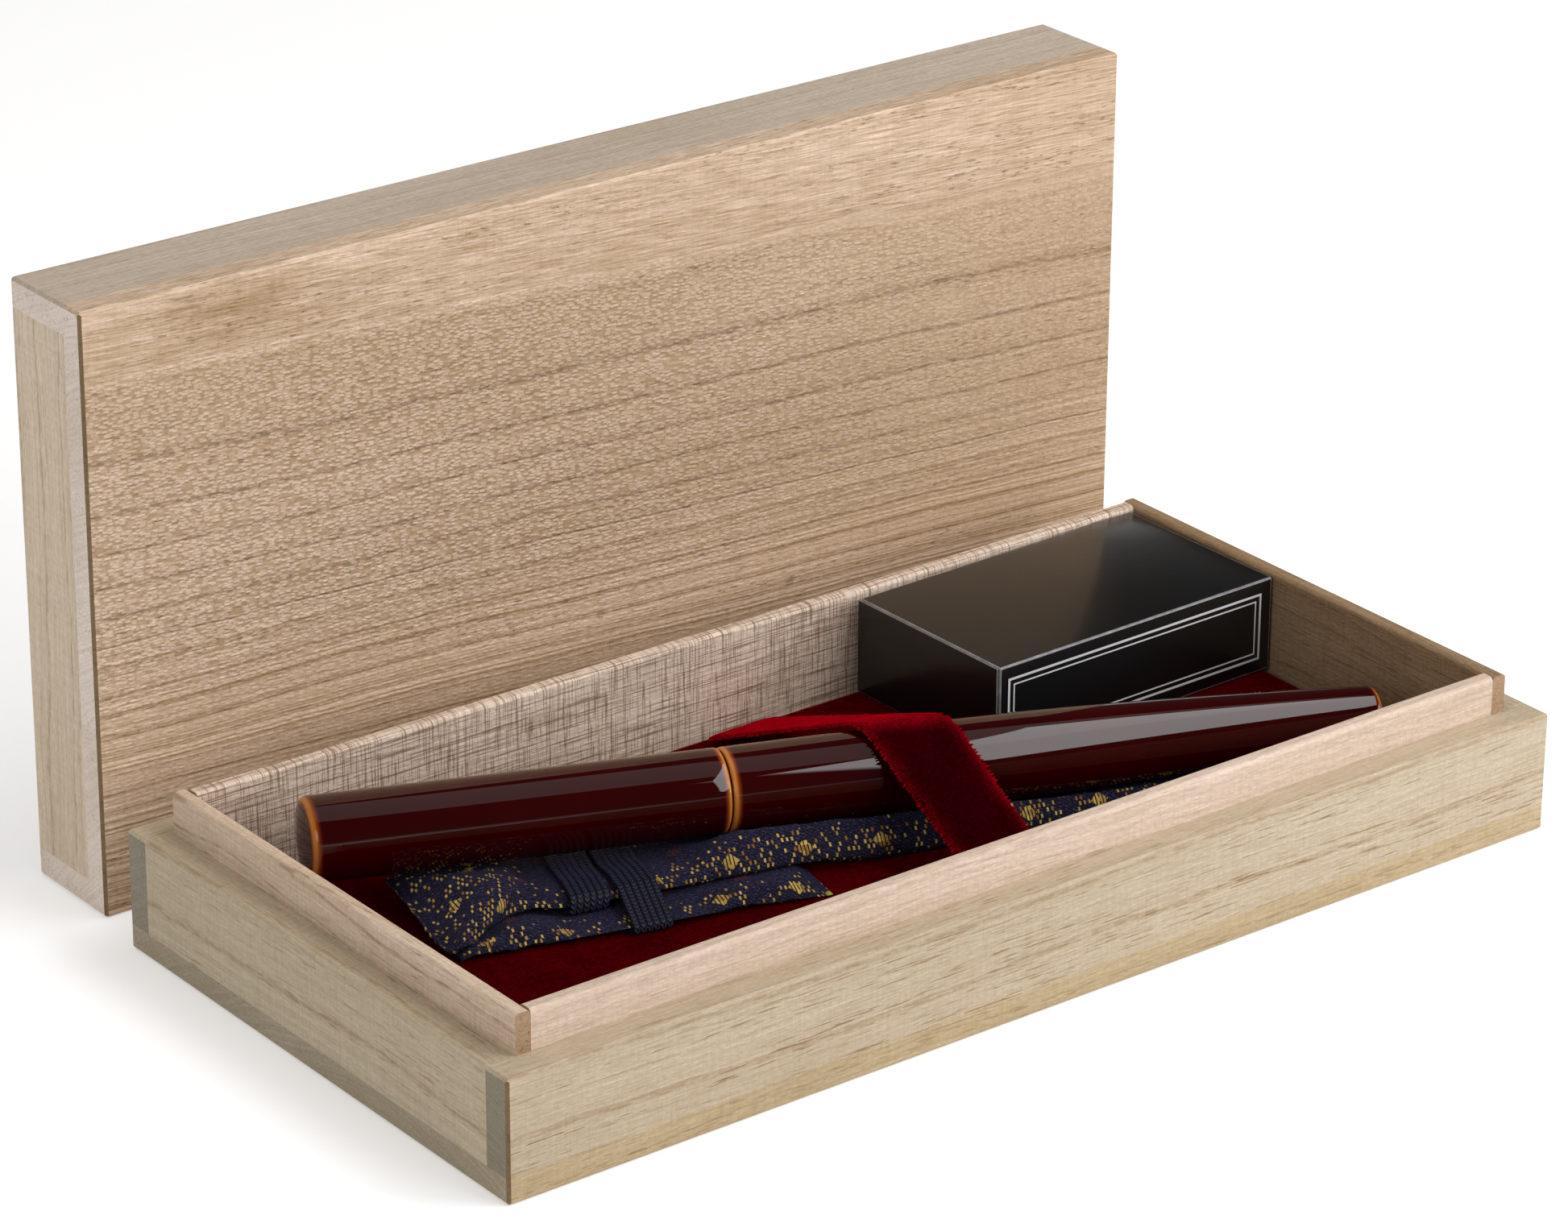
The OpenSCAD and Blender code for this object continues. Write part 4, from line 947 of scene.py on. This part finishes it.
def sleeve_section(u, drawn=True):
    pull = drawn_in(u) if drawn else 0.0
    shut = nose(min(u, sleeve_l - u), 2.6)
    top = max(sleeve_top - u * rest_slope, layer_z + 1.9)
    top += (pinch_top - top) * pull
    low_z = over_flap + (sleeve_pinched - over_flap) * pull
    on_pad = max(float(smooth_step(flap_l, flap_l + 10, u)), float(smooth_step(2.6, 1.8, u)))
    low_z += (layer_z - low_z) * on_pad
    near = [np.interp(u + d, edge_places, edge_reach) for d in (-1.6, -0.8, 0, 0.8, 1.6)]
    front = sum(near) / 5 if drawn else sleeve_w / 2 + sleeve_flare * max(0.0, 1 - u / 16)
    back = sleeve_w / 2 * (1 - shut / 4) - pinch_back * pull
    height = top - low_z
    lift = (2.3 - 1.4 * pull) * float(smooth_step(2, 13, min(u, sleeve_l - u)))
    return front * (1 - shut / 4), back, low_z + height * shut, top - height * shut, lift


def flap_section(u, drawn=True):
    pull = drawn_in(u) if drawn else 0.0
    out = sleeve_flare + (flap_out - sleeve_flare) * u / flap_l
    end = min(flap_l - u, u - 2.1)
    thin = nose(end, 2.0)
    low_z = layer_z + (flap_pinched - layer_z) * pull
    high_z = layer_z + flap_t + (flap_pinched + 0.6 - layer_z - flap_t) * pull
    height = high_z - low_z
    lift = 1.1 * (1 - pull) * float(smooth_step(0, 5, end))
    return (sleeve_w / 2 + out - 0.6 * thin, sleeve_w / 2 - max(out, pinch_back * pull),
            low_z + height * thin, high_z - height * thin, lift)


# rings stand close together at a rounded end
close = np.array([0, 0.25, 0.6, 1.1, 1.8])
sleeve_us = np.concatenate([close, np.linspace(2.6, sleeve_l - 2.6, 190), sleeve_l - close[::-1]])
flap_us = np.concatenate([2.4 + close[:4], np.linspace(4.3, flap_l - 2.7, 84),
                          flap_l - 0.15 - close[::-1]])
print("sleeve rings:", len(sleeve_us), "flap rings:", len(flap_us))

# %% [markdown]
# ## Letting the cloth settle
# Cloth that a cord draws in was cut wider than it is now, and the spare width stands up as folds
# that run out from the cord. A short cloth simulation finds them: it starts from the drawn-in
# rings, is told the cut width as its rest shape, holds the cloth under the cord and blows it up a
# little. It runs at ten times the size, where the solver is stable. Afterwards no point may have
# moved far, and nothing goes into the pad, the other layer or the pen, wherever the two slide.

# %% A short cloth simulation
def ring_faces(count):
    faces = []
    for i in range(count - 1):
        for j in range(around):
            a, b = i * around + j, i * around + (j + 1) % around
            faces.append((a, b, b + around, a + around))
    faces.append(list(range(around - 1, -1, -1)))
    faces.append([(count - 1) * around + j for j in range(around)])
    return faces


def settle_cloth(start, cut, held, faces, pressure):
    grow, frames = 10 * MM, 20
    mesh = bpy.data.meshes.new("cloth_draft")
    mesh.from_pydata((start * grow).tolist(), [], faces)
    draft = bpy.data.objects.new("cloth_draft", mesh)
    bpy.context.scene.collection.objects.link(draft)
    draft.shape_key_add(name="drawn_in")
    cut_key = draft.shape_key_add(name="cut")
    cut_key.data.foreach_set("co", (cut * grow).ravel())
    pins = draft.vertex_groups.new(name="held")
    for i in np.nonzero(held > 0)[0]:
        pins.add([int(i)], float(held[i]), "REPLACE")
    cloth = draft.modifiers.new("cloth", "CLOTH")
    cloth.settings.quality = 6
    cloth.settings.mass = 0.2
    cloth.settings.tension_stiffness = 15
    cloth.settings.compression_stiffness = 15
    cloth.settings.bending_stiffness = 0.3
    cloth.settings.use_pressure = True
    cloth.settings.uniform_pressure_force = pressure
    cloth.settings.vertex_group_mass = "held"
    cloth.settings.rest_shape_key = cut_key
    cloth.settings.effector_weights.gravity = 0
    cloth.collision_settings.use_collision = False
    for step in range(1, frames + 1):
        bpy.context.scene.frame_set(step)
    settled = draft.evaluated_get(bpy.context.evaluated_depsgraph_get()).to_mesh()
    result = np.empty(len(settled.vertices) * 3)
    settled.vertices.foreach_get("co", result)
    bpy.data.objects.remove(draft)
    bpy.context.scene.frame_set(1)
    return result.reshape(-1, 3) / grow


def cap_moves(start, settled, sideways, upward):
    move = settled - start
    move[:, :2] = np.clip(move[:, :2], -sideways, sideways)
    move[:, 2] = np.clip(move[:, 2], -upward, upward)
    return start + move


print("faces of the sleeve's rings:", len(ring_faces(len(sleeve_us))))

# %% Sleeve and flap, settled
def cloth_points(us, section, widen, pressure, upward):
    start = cloth_rings(us, section)
    ripple = np.array([noise.noise((u * 0.22, v * 0.5, z * 0.3)) for u, v, z in start])
    held = np.repeat([drawn_in(u) > 0.98 for u in us], around).astype(float)
    start[:, 2] += 0.12 * ripple * (1 - held)
    cut = cloth_rings(us, lambda u: section(u, False))
    cut[:, 1] *= widen
    settled = settle_cloth(start, cut, held, ring_faces(len(us)), pressure)
    far = np.linalg.norm(settled - start, axis=1)
    print("cloth moved", round(float(far.mean()), 2), "mm, at most", round(float(far.max()), 2))
    return cap_moves(start, settled, 0.7, upward)


pen_gap = 0.22
sleeve_points = cloth_points(sleeve_us, sleeve_section, 1.05, 2.5, 1.8)
low_limit = np.array([sleeve_section(u)[2] for u in sleeve_us]).repeat(around)
sleeve_points[:, 2] = np.maximum(sleeve_points[:, 2], low_limit)
sleeve_points[:, 2] = np.minimum(sleeve_points[:, 2], room_under_pen(sleeve_points) - pen_gap)
flap_points = cloth_points(flap_us, flap_section, 1.03, 2.0, 1.3)
flap_high = np.array([flap_section(u)[3] for u in flap_us]).repeat(around)
body_front = np.array([sleeve_section(u)[0] for u in flap_us]).repeat(around)
free = smooth_step(0.2, 2.0, -flap_points[:, 1] - body_front - 0.6)
flap_points[:, 2] = np.minimum(flap_points[:, 2], flap_high + 1.6 * free)
flap_points[:, 2] = np.maximum(flap_points[:, 2], layer_z)
# the flap's upper and lower side stay apart by this many mm
least = 0.1
half_ring = around // 2
flap_rings = flap_points.reshape(-1, around, 3)
upper, lower = flap_rings[:, 1:half_ring, 2], flap_rings[:, :half_ring:-1, 2]
lower[:] = np.maximum(layer_z, np.minimum(lower, upper - least))
upper[:] = np.maximum(upper, lower + least)
print("flap's thinnest place in mm:", round(float((upper - lower).min()), 2))

# %% [markdown]
# ## Indigo brocade
# The cloth is a twill of indigo silk with flat gold thread brought up in short stitches: scattered
# dashes along the front edge and over the folded end, small hatched lozenges between them, and
# brown lozenges on the plain part. The piece's own map gives millimetres along the sleeve and round
# it, so the weave bends with the folds. Silk is soft and faintly glossy, gold thread glints.

# %% Twill ground
brocade, tree = new_material("indigo brocade with gold thread")
mm = add(tree, "UVMap", uv_map="cloth_mm")
# the ribs are a little further apart than real ones so that they show
rib_mm, rib_way = 0.55, (0.55, 0.83, 0)
rib_at = add(tree, "VectorMath", {0: mm, 1: rib_way}, operation="DOT_PRODUCT")
rib = add(tree, "Math", {0: rib_at, 1: 2 * math.pi / rib_mm}, operation="MULTIPLY")
rib = add(tree, "Math", {0: rib}, operation="SINE")
yarn_at = add(tree, "VectorMath", {0: mm, 1: (1.7, 2.9, 1)}, operation="MULTIPLY")
yarn = add(tree, "TexNoise", {"Vector": yarn_at, "Scale": 1.0, "Detail": 4.0, "Roughness": 0.75})
weave = add(tree, "Math", {0: rib, 1: 0.055, 2: yarn}, operation="MULTIPLY_ADD")
ground = add(tree, "ValToRGB", {0: weave},
             stops=[(0.38, linear("#020205")), (0.5, linear("#0e0a1f")), (0.58, linear("#282247")),
                    (0.7, linear("#635890"))])
print("ground nodes:", len(tree.nodes))

# %% Where the gold lies
axes = add(tree, "SeparateXYZ", {0: mm})
along_cloth, round_cloth = axes.outputs["X"], axes.outputs["Y"]
from_stripe = add(tree, "Math", {0: round_cloth, 1: 1.8}, operation="SUBTRACT")
from_stripe = add(tree, "Math", {0: from_stripe}, operation="ABSOLUTE")
stripe = add(tree, "MapRange", {"Value": from_stripe, 1: 1.8, 2: 4.4, 3: 1.0, 4: 0.0})
left_end = add(tree, "MapRange", {"Value": along_cloth, 1: 9.0, 2: 24.0, 3: 0.95, 4: 0.0})
gold_zone = add(tree, "Math", {0: stripe, 1: left_end}, operation="MAXIMUM")
patch = add(tree, "TexNoise", {"Vector": mm, "Scale": 0.16, "Detail": 1.0})
patch = add(tree, "Math", {0: patch, 1: 1.4, 2: 0.3}, operation="MULTIPLY_ADD")
gold_zone = add(tree, "Math", {0: gold_zone, 1: patch}, operation="MULTIPLY")
gold_chance = add(tree, "MapRange", {"Value": gold_zone, 1: 0.0, 2: 1.0, 3: 0.012, 4: 0.42})
# the flap, whose map starts further on than the sleeve's ends, gets less of it: painted shade that
# darkens the flap
flap_map_start = 200
flap_painted_shade = add(tree, "MapRange", {"Value": along_cloth, 1: flap_map_start - 11,
                                 2: flap_map_start - 10, 3: 1.0, 4: 0.55})
gold_chance = add(tree, "Math", {0: gold_chance, 1: flap_painted_shade}, operation="MULTIPLY")
print("gold along the front edge and over the left end")

# %% Gold dashes of 0.36 by 0.65 mm in some of the cells, rows staggered
cell_mm, dash_half = (0.85, 0.9), (0.21, 0.36)
cell_at = add(tree, "VectorMath", {0: mm, 1: (1 / cell_mm[0], 1 / cell_mm[1], 1)},
              operation="MULTIPLY")
cell_parts = add(tree, "SeparateXYZ", {0: cell_at})
row = add(tree, "Math", {0: cell_parts.outputs["Y"]}, operation="FLOOR")
row_shift = add(tree, "Math", {0: row, 1: 0.5, 2: cell_parts.outputs["X"]},
                operation="MULTIPLY_ADD")
cell_at = add(tree, "CombineXYZ", {"X": row_shift, "Y": cell_parts.outputs["Y"]})
cell = add(tree, "VectorMath", {0: cell_at}, operation="FLOOR")
luck = add(tree, "TexWhiteNoise", {"Vector": cell}, noise_dimensions="2D")
has = add(tree, "Math", {0: luck.outputs["Value"], 1: gold_chance}, operation="LESS_THAN")
inside = add(tree, "VectorMath", {0: cell_at}, operation="FRACTION")
inside = add(tree, "VectorMath", {0: inside, 1: (0.5, 0.5, 0)}, operation="SUBTRACT")
inside = add(tree, "VectorMath", {0: inside}, operation="ABSOLUTE")
inside = add(tree, "SeparateXYZ", {0: inside})
narrow = add(tree, "Math", {0: inside.outputs["X"], 1: dash_half[0]}, operation="LESS_THAN")
short = add(tree, "Math", {0: inside.outputs["Y"], 1: dash_half[1]}, operation="LESS_THAN")
dash = add(tree, "Math", {0: narrow, 1: short}, operation="MULTIPLY")
dash = add(tree, "Math", {0: dash, 1: has}, operation="MULTIPLY")
print("dash cells of", cell_mm, "mm")

# %% Hatched lozenges, rows staggered
lozenge_mm, step_mm, row_mm, first_row, hatch_mm = (3.2, 2.8), 13, 7.5, 2.2, 0.62
row_at = add(tree, "Math", {0: round_cloth, 1: 1 / row_mm, 2: -first_row / row_mm},
             operation="MULTIPLY_ADD")
row = add(tree, "Math", {0: row_at}, operation="ROUND")
row_shift = add(tree, "Math", {0: row, 1: 0.5}, operation="MULTIPLY")
step_at = add(tree, "Math", {0: along_cloth, 1: 1 / step_mm, 2: row_shift},
              operation="MULTIPLY_ADD")
across_x = add(tree, "Math", {0: step_at, 1: 0.5}, operation="PINGPONG")
across_y = add(tree, "Math", {0: row_at, 1: 0.5}, operation="PINGPONG")
size_x = add(tree, "Math", {0: across_x, 1: step_mm / (lozenge_mm[0] / 2)}, operation="MULTIPLY")
size = add(tree, "Math", {0: across_y, 1: row_mm / (lozenge_mm[1] / 2), 2: size_x},
           operation="MULTIPLY_ADD")
diamond = add(tree, "Math", {0: size, 1: 1.0}, operation="LESS_THAN")
hatch = add(tree, "Math", {0: along_cloth, 1: 2 * math.pi / hatch_mm}, operation="MULTIPLY")
hatch = add(tree, "Math", {0: hatch}, operation="SINE")
hatch = add(tree, "Math", {0: hatch, 1: -0.45}, operation="GREATER_THAN")
lozenge = add(tree, "Math", {0: diamond, 1: hatch}, operation="MULTIPLY")
rich = add(tree, "Math", {0: gold_zone, 1: 0.34}, operation="GREATER_THAN")
gold_lozenge = add(tree, "Math", {0: lozenge, 1: rich}, operation="MULTIPLY")
gold = add(tree, "Math", {0: dash, 1: gold_lozenge}, operation="MAXIMUM")
print("lozenges every", step_mm, "mm")

# %% Colours and shader of the brocade
brown_share = add(tree, "Math", {0: lozenge, 1: 0.75}, operation="MULTIPLY")
woven = add(tree, "Mix", {0: brown_share, 6: ground, 7: linear("#64301a")}, data_type="RGBA")
# each dash's gold is lighter or darker at random: painted glint
glint = add(tree, "TexWhiteNoise", {"Vector": cell}, noise_dimensions="3D")
shine = add(tree, "Mix", {0: glint.outputs["Value"], 6: linear("#a66c12"), 7: linear("#ffe070")},
            data_type="RGBA")
woven = add(tree, "Mix", {0: gold, 6: woven, 7: shine}, data_type="RGBA")
# a yellow-green thread end shows at the tip of the flap
tip = add(tree, "VectorMath", {0: mm, 1: (flap_map_start + flap_l - 0.9, 0.4, 0)},
          operation="DISTANCE")
tip = add(tree, "MapRange", {"Value": tip, 1: 0.7, 2: 1.2, 3: 1.0, 4: 0.0})
woven = add(tree, "Mix", {0: tip, 6: woven, 7: linear("#b9b21c")}, data_type="RGBA")
rough = add(tree, "MapRange", {"Value": gold, 1: 0.0, 2: 1.0, 3: 0.85, 4: 0.28})
metal = add(tree, "Math", {0: gold, 1: 0.25}, operation="MULTIPLY")
relief = add(tree, "Math", {0: gold, 1: 0.6, 2: weave}, operation="MULTIPLY_ADD")
bump = add(tree, "Bump", {"Height": relief, "Strength": 1.0, "Distance": 0.5 * MM})
shader = add(tree, "BsdfPrincipled", {
    "Base Color": woven, "Roughness": rough, "Metallic": metal, "Specular IOR Level": 0.3,
    "Sheen Weight": 0.12, "Sheen Roughness": 0.5, "Sheen Tint": linear("#6c66a0"), "Normal": bump})
add(tree, "OutputMaterial", {"Surface": shader})
print("brocade nodes:", len(tree.nodes))

# %% Cloth pieces with a map in millimetres, measured from the front edge
def cloth_piece(name, points, count, map_start):
    world = [(to_frame @ Vector(p)) * MM for p in points]
    piece = mesh_piece(name, world, ring_faces(count), "sleeve", brocade)
    rings = points.reshape(count, around, 3)
    steps = np.linalg.norm(np.diff(np.concatenate([rings, rings[:, :1]], axis=1), axis=1), axis=2)
    run = np.concatenate([np.zeros((count, 1)), np.cumsum(steps, axis=1)], axis=1)
    run = run[:, around // 2:around // 2 + 1] - run
    layer = piece.data.uv_layers.new(name="cloth_mm")
    for polygon in piece.data.polygons:
        corners = [piece.data.loops[loop].vertex_index for loop in polygon.loop_indices]
        closing = len(corners) == 4 and {v % around for v in corners} == {0, around - 1}
        for loop, vertex in zip(polygon.loop_indices, corners):
            ring, j = divmod(vertex, around)
            last = around if closing and j == 0 else j
            layer.data[loop].uv = (map_start + rings[ring, j, 0], run[ring, last])
    return piece


cloth_sleeve = cloth_piece("cloth_sleeve", sleeve_points, len(sleeve_us), 0.0)
folded_flap = cloth_piece("folded_flap", flap_points, len(flap_us), flap_map_start)
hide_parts("brocade_sleeve")
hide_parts("sleeve_flap")
for piece in (cloth_sleeve, folded_flap):
    print(piece.name, "faces:", len(piece.data.polygons))

# %% [markdown]
# ## Tie cord
# The cord is a flat navy braid, seven millimetres wide. It makes two turns: the front of the first
# lies between flap and sleeve, the second goes round both. Its route is drawn half a turn at a
# time, round a sharp lower edge and a soft upper one, and the braid is a row of ridges along the
# strand with slanting stitches on them.

# %% Route of the cord
low_bend = cord_t
cord_high = pinch_top + lay + cord_t / 2
cord_low = layer_z + cord_t / 2
hug = sleeve_w / 2 + lay + cord_t / 2
flap_hug = hug + sleeve_flare + (flap_out - sleeve_flare) * (cord_at + cord_pitch) / flap_l
cord_lift = 0.9


def half_turn(low_reach, high_reach, low_z, front):
    """Points (reach, height) with outward directions, from the lower middle to the upper middle."""
    high_bend, lifted = (1.5, cord_high + cord_lift) if front else (low_bend, cord_high)
    low_at = (low_reach - low_bend, low_z + low_bend)
    high_at = (high_reach - high_bend, lifted - high_bend)
    between = math.dist(low_at, high_at)
    meet = (math.atan2(high_at[1] - low_at[1], high_at[0] - low_at[0])
            - math.acos((low_bend - high_bend) / between))
    route = [((t * low_at[0], low_z), (0, -1)) for t in np.linspace(0, 0.96, 9)]
    for (v, z), r, a0, a1 in ((low_at, low_bend, -math.pi / 2, meet),
                              (high_at, high_bend, meet, math.pi / 2)):
        for i in range(9):
            a = a0 + (a1 - a0) * i / 8
            route.append(((v + r * math.cos(a), z + r * math.sin(a)), (math.cos(a), math.sin(a))))
        if r == low_bend and a1 == meet:
            (v0, z0), out = route[-1]
            v1, z1 = high_at[0] + high_bend * out[0], high_at[1] + high_bend * out[1]
            route += [((v0 + (v1 - v0) * t, z0 + (z1 - z0) * t), out) for t in (0.25, 0.5, 0.75)]
    for t in np.linspace(0.95, 0, 12):
        v = t * high_at[0]
        rise = cord_lift * float(in_front(-v if front else v))
        route.append(((v, cord_high + rise), (0, 1)))
    return route


halves = [half_turn(hug - pinch_front, hug - pinch_front, between_z, True),
          half_turn(hug - pinch_back, hug - pinch_back, cord_low, False),
          half_turn(flap_hug, hug - pinch_front, cord_low, True),
          half_turn(hug - pinch_back, hug - pinch_back, cord_low, False)]
centre, outward = [], []
for h, half in enumerate(halves):
    strand = half if h % 2 == 0 else half[::-1]
    sign = -1 if h % 2 == 0 else 1
    runs = np.cumsum([0] + [math.dist(a[0], b[0]) for a, b in zip(strand, strand[1:])])
    for k, ((v, z), (nv, nz)) in enumerate(strand):
        if h > 0 and k == 0:
            continue
        u = cord_at + ((h + runs[k] / runs[-1]) / 2 - 1) * cord_pitch
        centre.append(Vector((u, sign * v, z)))
        outward.append(Vector((0, sign * nv, nz)))
print("cord points:", len(centre))

# %% Flat braid along the route
columns = 6
profile = []
for i in range(columns * 6 + 1):
    w = -0.5 + i / (columns * 6)
    ridge = abs(math.sin(math.pi * i / 6))
    profile.append((w, (0.5 - 0.3 * abs(2 * w) ** 6) * (0.6 + 0.4 * ridge)))
ring_shape = profile + [(w, -h) for w, h in reversed(profile)]
points, faces, uvs, run = [], [], [], 0.0
for i, (p, n) in enumerate(zip(centre, outward)):
    run += math.dist(centre[i - 1], p) if i else 0
    for w, h in ring_shape:
        points.append((to_frame @ (p + Vector((w * cord_w, 0, 0)) + n * h * cord_t)) * MM)
        uvs.append((run, w * cord_w))
size = len(ring_shape)
for i in range(len(centre) - 1):
    for j in range(size):
        a, b = i * size + j, i * size + (j + 1) % size
        faces.append((a, b, b + size, a + size))
faces.append(list(range(size - 1, -1, -1)))
faces.append([(len(centre) - 1) * size + j for j in range(size)])
print("cord length in mm:", round(run, 1))

# %% Navy braid: silk yarn in V stitches, with painted shade in the furrows and a painted highlight on the ridges
braid, tree = new_material("navy flat braid")
mm = add(tree, "UVMap", uv_map="cord_mm")
axes = add(tree, "SeparateXYZ", {0: mm})
column_at = add(tree, "Math", {0: axes.outputs["Y"], 1: columns / cord_w, 2: 0.5 * columns},
                operation="MULTIPLY_ADD")
from_furrow = add(tree, "Math", {0: column_at, 1: 0.5}, operation="PINGPONG")
# stitches 0.8 mm apart that lean by 0.5 mm from furrow to ridge
lean = add(tree, "Math", {0: from_furrow, 1: 1.1, 2: axes.outputs["X"]}, operation="MULTIPLY_ADD")
stitch = add(tree, "Math", {0: lean, 1: 2 * math.pi / 0.8}, operation="MULTIPLY")
stitch = add(tree, "Math", {0: stitch}, operation="SINE")
furrow = add(tree, "MapRange", {"Value": from_furrow, 1: 0.04, 2: 0.2, 3: -0.9, 4: 0.25})
height = add(tree, "Math", {0: stitch, 1: 0.45, 2: furrow}, operation="MULTIPLY_ADD")
fine_at = add(tree, "VectorMath", {0: mm, 1: (5, 3, 1)}, operation="MULTIPLY")
fine = add(tree, "TexNoise", {"Vector": fine_at, "Scale": 1.0, "Detail": 3.0})
height = add(tree, "Math", {0: fine, 1: 0.4, 2: height}, operation="MULTIPLY_ADD")
# the colour follows the relief: painted shade in the furrows and between stitches, painted highlight
# on the ridges
colour = add(tree, "ValToRGB", {0: height},
             stops=[(0.0, linear("#010103")), (0.45, linear("#080814")), (0.9, linear("#302f55"))])
bump = add(tree, "Bump", {"Height": height, "Strength": 0.8, "Distance": 0.2 * MM})
shader = add(tree, "BsdfPrincipled", {
    "Base Color": colour, "Roughness": 0.5, "Specular IOR Level": 0.3, "Sheen Weight": 0.1,
    "Sheen Tint": linear("#7a7ca8"), "Normal": bump})
add(tree, "OutputMaterial", {"Surface": shader})
print("braid columns:", columns)

# %% The finished cord
tie_cord = mesh_piece("tie_cord", points, faces, "sleeve", braid)
layer = tie_cord.data.uv_layers.new(name="cord_mm")
for loop in tie_cord.data.loops:
    layer.data[loop.index].uv = uvs[loop.vertex_index]
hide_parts("sleeve_cord")
print("tie cord faces:", len(faces))

# %% [markdown]
# ## Ink carton
# The carton is folded from glossy black card with its flap at the left end. Its corners are
# creases, a little rounded and pale, partly worn and partly a painted highlight. A thin double line
# frames its long sides.

# %% Folded carton
carton_turn = math.radians(1.2)
carton_size = Vector((61.8, 36.4, 17.1))
carton_place = (Matrix.Translation(Vector((95.5268, 43.3, 10.15)) * MM)
                @ Matrix.Rotation(carton_turn, 4, "Z")
                @ Matrix.Translation(Vector((-carton_size.x, -carton_size.y, 0)) * MM))


def carton_card(name, size, corner, bevel_mm):
    """A block of card with rounded creases, placed by its lower corner in the carton's frame."""
    bpy.ops.object.select_all(action="DESELECT")
    bpy.ops.mesh.primitive_cube_add(size=1)
    piece = bpy.context.object
    piece.name = name
    piece.scale = Vector(size) * MM
    piece.location = (Vector(corner) + Vector(size) / 2) * MM
    bpy.ops.object.transform_apply(location=True, rotation=True, scale=True)
    bpy.ops.object.mode_set(mode="EDIT")
    bpy.ops.mesh.select_all(action="SELECT")
    bpy.ops.mesh.bevel(offset=bevel_mm * MM, segments=3, affect="EDGES")
    bpy.ops.object.mode_set(mode="OBJECT")
    return piece


carton_box = carton_card("carton_box", (61.3, 36.4, 17.1), (0.5, 0, 0), 0.35)
bpy.ops.object.mode_set(mode="EDIT")
bpy.ops.mesh.select_all(action="DESELECT")
bpy.ops.object.mode_set(mode="OBJECT")
for polygon in carton_box.data.polygons:
    polygon.select = polygon.normal.x < -0.99 and polygon.area > 100 * MM * MM
bpy.ops.object.mode_set(mode="EDIT")
bpy.ops.mesh.select_mode(type="FACE")
bpy.ops.mesh.inset(thickness=0.3 * MM)
bpy.ops.mesh.extrude_region_move(TRANSFORM_OT_translate={"value": (60.6 * MM, 0, 0)})
bpy.ops.object.mode_set(mode="OBJECT")
carton_end_flap = carton_card("carton_end_flap", (0.35, 36.1, 16.95), (0, 0.15, 0.15), 0.12)
print("carton faces:", len(carton_box.data.polygons))

# %% Glossy black card: printed and varnished, so it mirrors softly and shows every crease
frame_lines = ((2.6, 0.22), (3.7, 0.14))


def glossy_card(name, dark, light, framed):
    """Card with a fine mottle; framed draws a thin double line on the long sides."""
    material, tree = new_material(name)
    coord = add(tree, "TexCoord")
    local = add(tree, "Mapping", {"Vector": coord.outputs["Object"],
                                  "Location": carton_place.to_translation(),
                                  "Rotation": (0, 0, carton_turn)}, vector_type="TEXTURE")
    fine = add(tree, "TexNoise", {"Vector": local, "Scale": 1 / (1.5 * MM), "Detail": 4.0})
    colour = add(tree, "Mix", {0: fine, 6: linear(dark), 7: linear(light)}, data_type="RGBA")
    if framed:
        # a line is where the larger of two distances to the frame's sides is nearly nothing
        middle = add(tree, "VectorMath", {0: local, 1: carton_size * MM / 2}, operation="SUBTRACT")
        size = add(tree, "VectorMath", {0: middle}, operation="ABSOLUTE")
        axes = add(tree, "SeparateXYZ", {0: size})
        on_side = add(tree, "Math", {0: axes.outputs["Y"], 1: (carton_size.y / 2 - 0.1) * MM},
                      operation="GREATER_THAN")
        for margin, width in frame_lines:
            dx = add(tree, "Math", {0: axes.outputs["X"], 1: (carton_size.x / 2 - margin) * MM},
                     operation="SUBTRACT")
            dz = add(tree, "Math", {0: axes.outputs["Z"], 1: (carton_size.z / 2 - margin) * MM},
                     operation="SUBTRACT")
            far = add(tree, "Math", {0: dx, 1: dz}, operation="MAXIMUM")
            far = add(tree, "Math", {0: far}, operation="ABSOLUTE")
            mark = add(tree, "Math", {0: far, 1: width * MM}, operation="LESS_THAN")
            mark = add(tree, "Math", {0: mark, 1: on_side}, operation="MULTIPLY")
            colour = add(tree, "Mix", {0: mark, 6: colour, 7: linear("#d5d4d6")}, data_type="RGBA")
    bump = add(tree, "Bump", {"Height": fine, "Strength": 0.12, "Distance": 0.1 * MM})
    shader = add(tree, "BsdfPrincipled", {
        "Base Color": colour, "Roughness": 0.34, "Specular IOR Level": 0.3, "Coat Weight": 0.35,
        "Coat Roughness": 0.12, "Normal": bump})
    add(tree, "OutputMaterial", {"Surface": shader})
    return material


black_card = glossy_card("glossy black card", "#0b0a0a", "#121010", True)
pale_crease_worn_and_highlit = glossy_card("pale crease of black card, worn and painted highlight", "#4c4a4c", "#a3a1a4", False)
for piece, body, node in ((carton_box, "carton", "carton_shell"),
                          (carton_end_flap, "carton_end", "carton_flap")):
    piece.data.materials.append(black_card)
    piece.data.materials.append(pale_crease_worn_and_highlit)
    for polygon in piece.data.polygons:
        # the rounded creases get the pale card: wear and painted highlight
        flat_face = max(abs(c) for c in polygon.normal) > 0.99
        polygon.material_index = 0 if flat_face else 1
    piece.matrix_world = carton_place
    bpy.ops.object.select_all(action="DESELECT")
    piece.select_set(True)
    bpy.context.view_layer.objects.active = piece
    bpy.ops.object.transform_apply(location=True, rotation=True, scale=True)
    bpy.ops.object.shade_smooth_by_angle(angle=math.radians(40))
    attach(piece, body)
    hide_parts(node)
print("carton dressed")
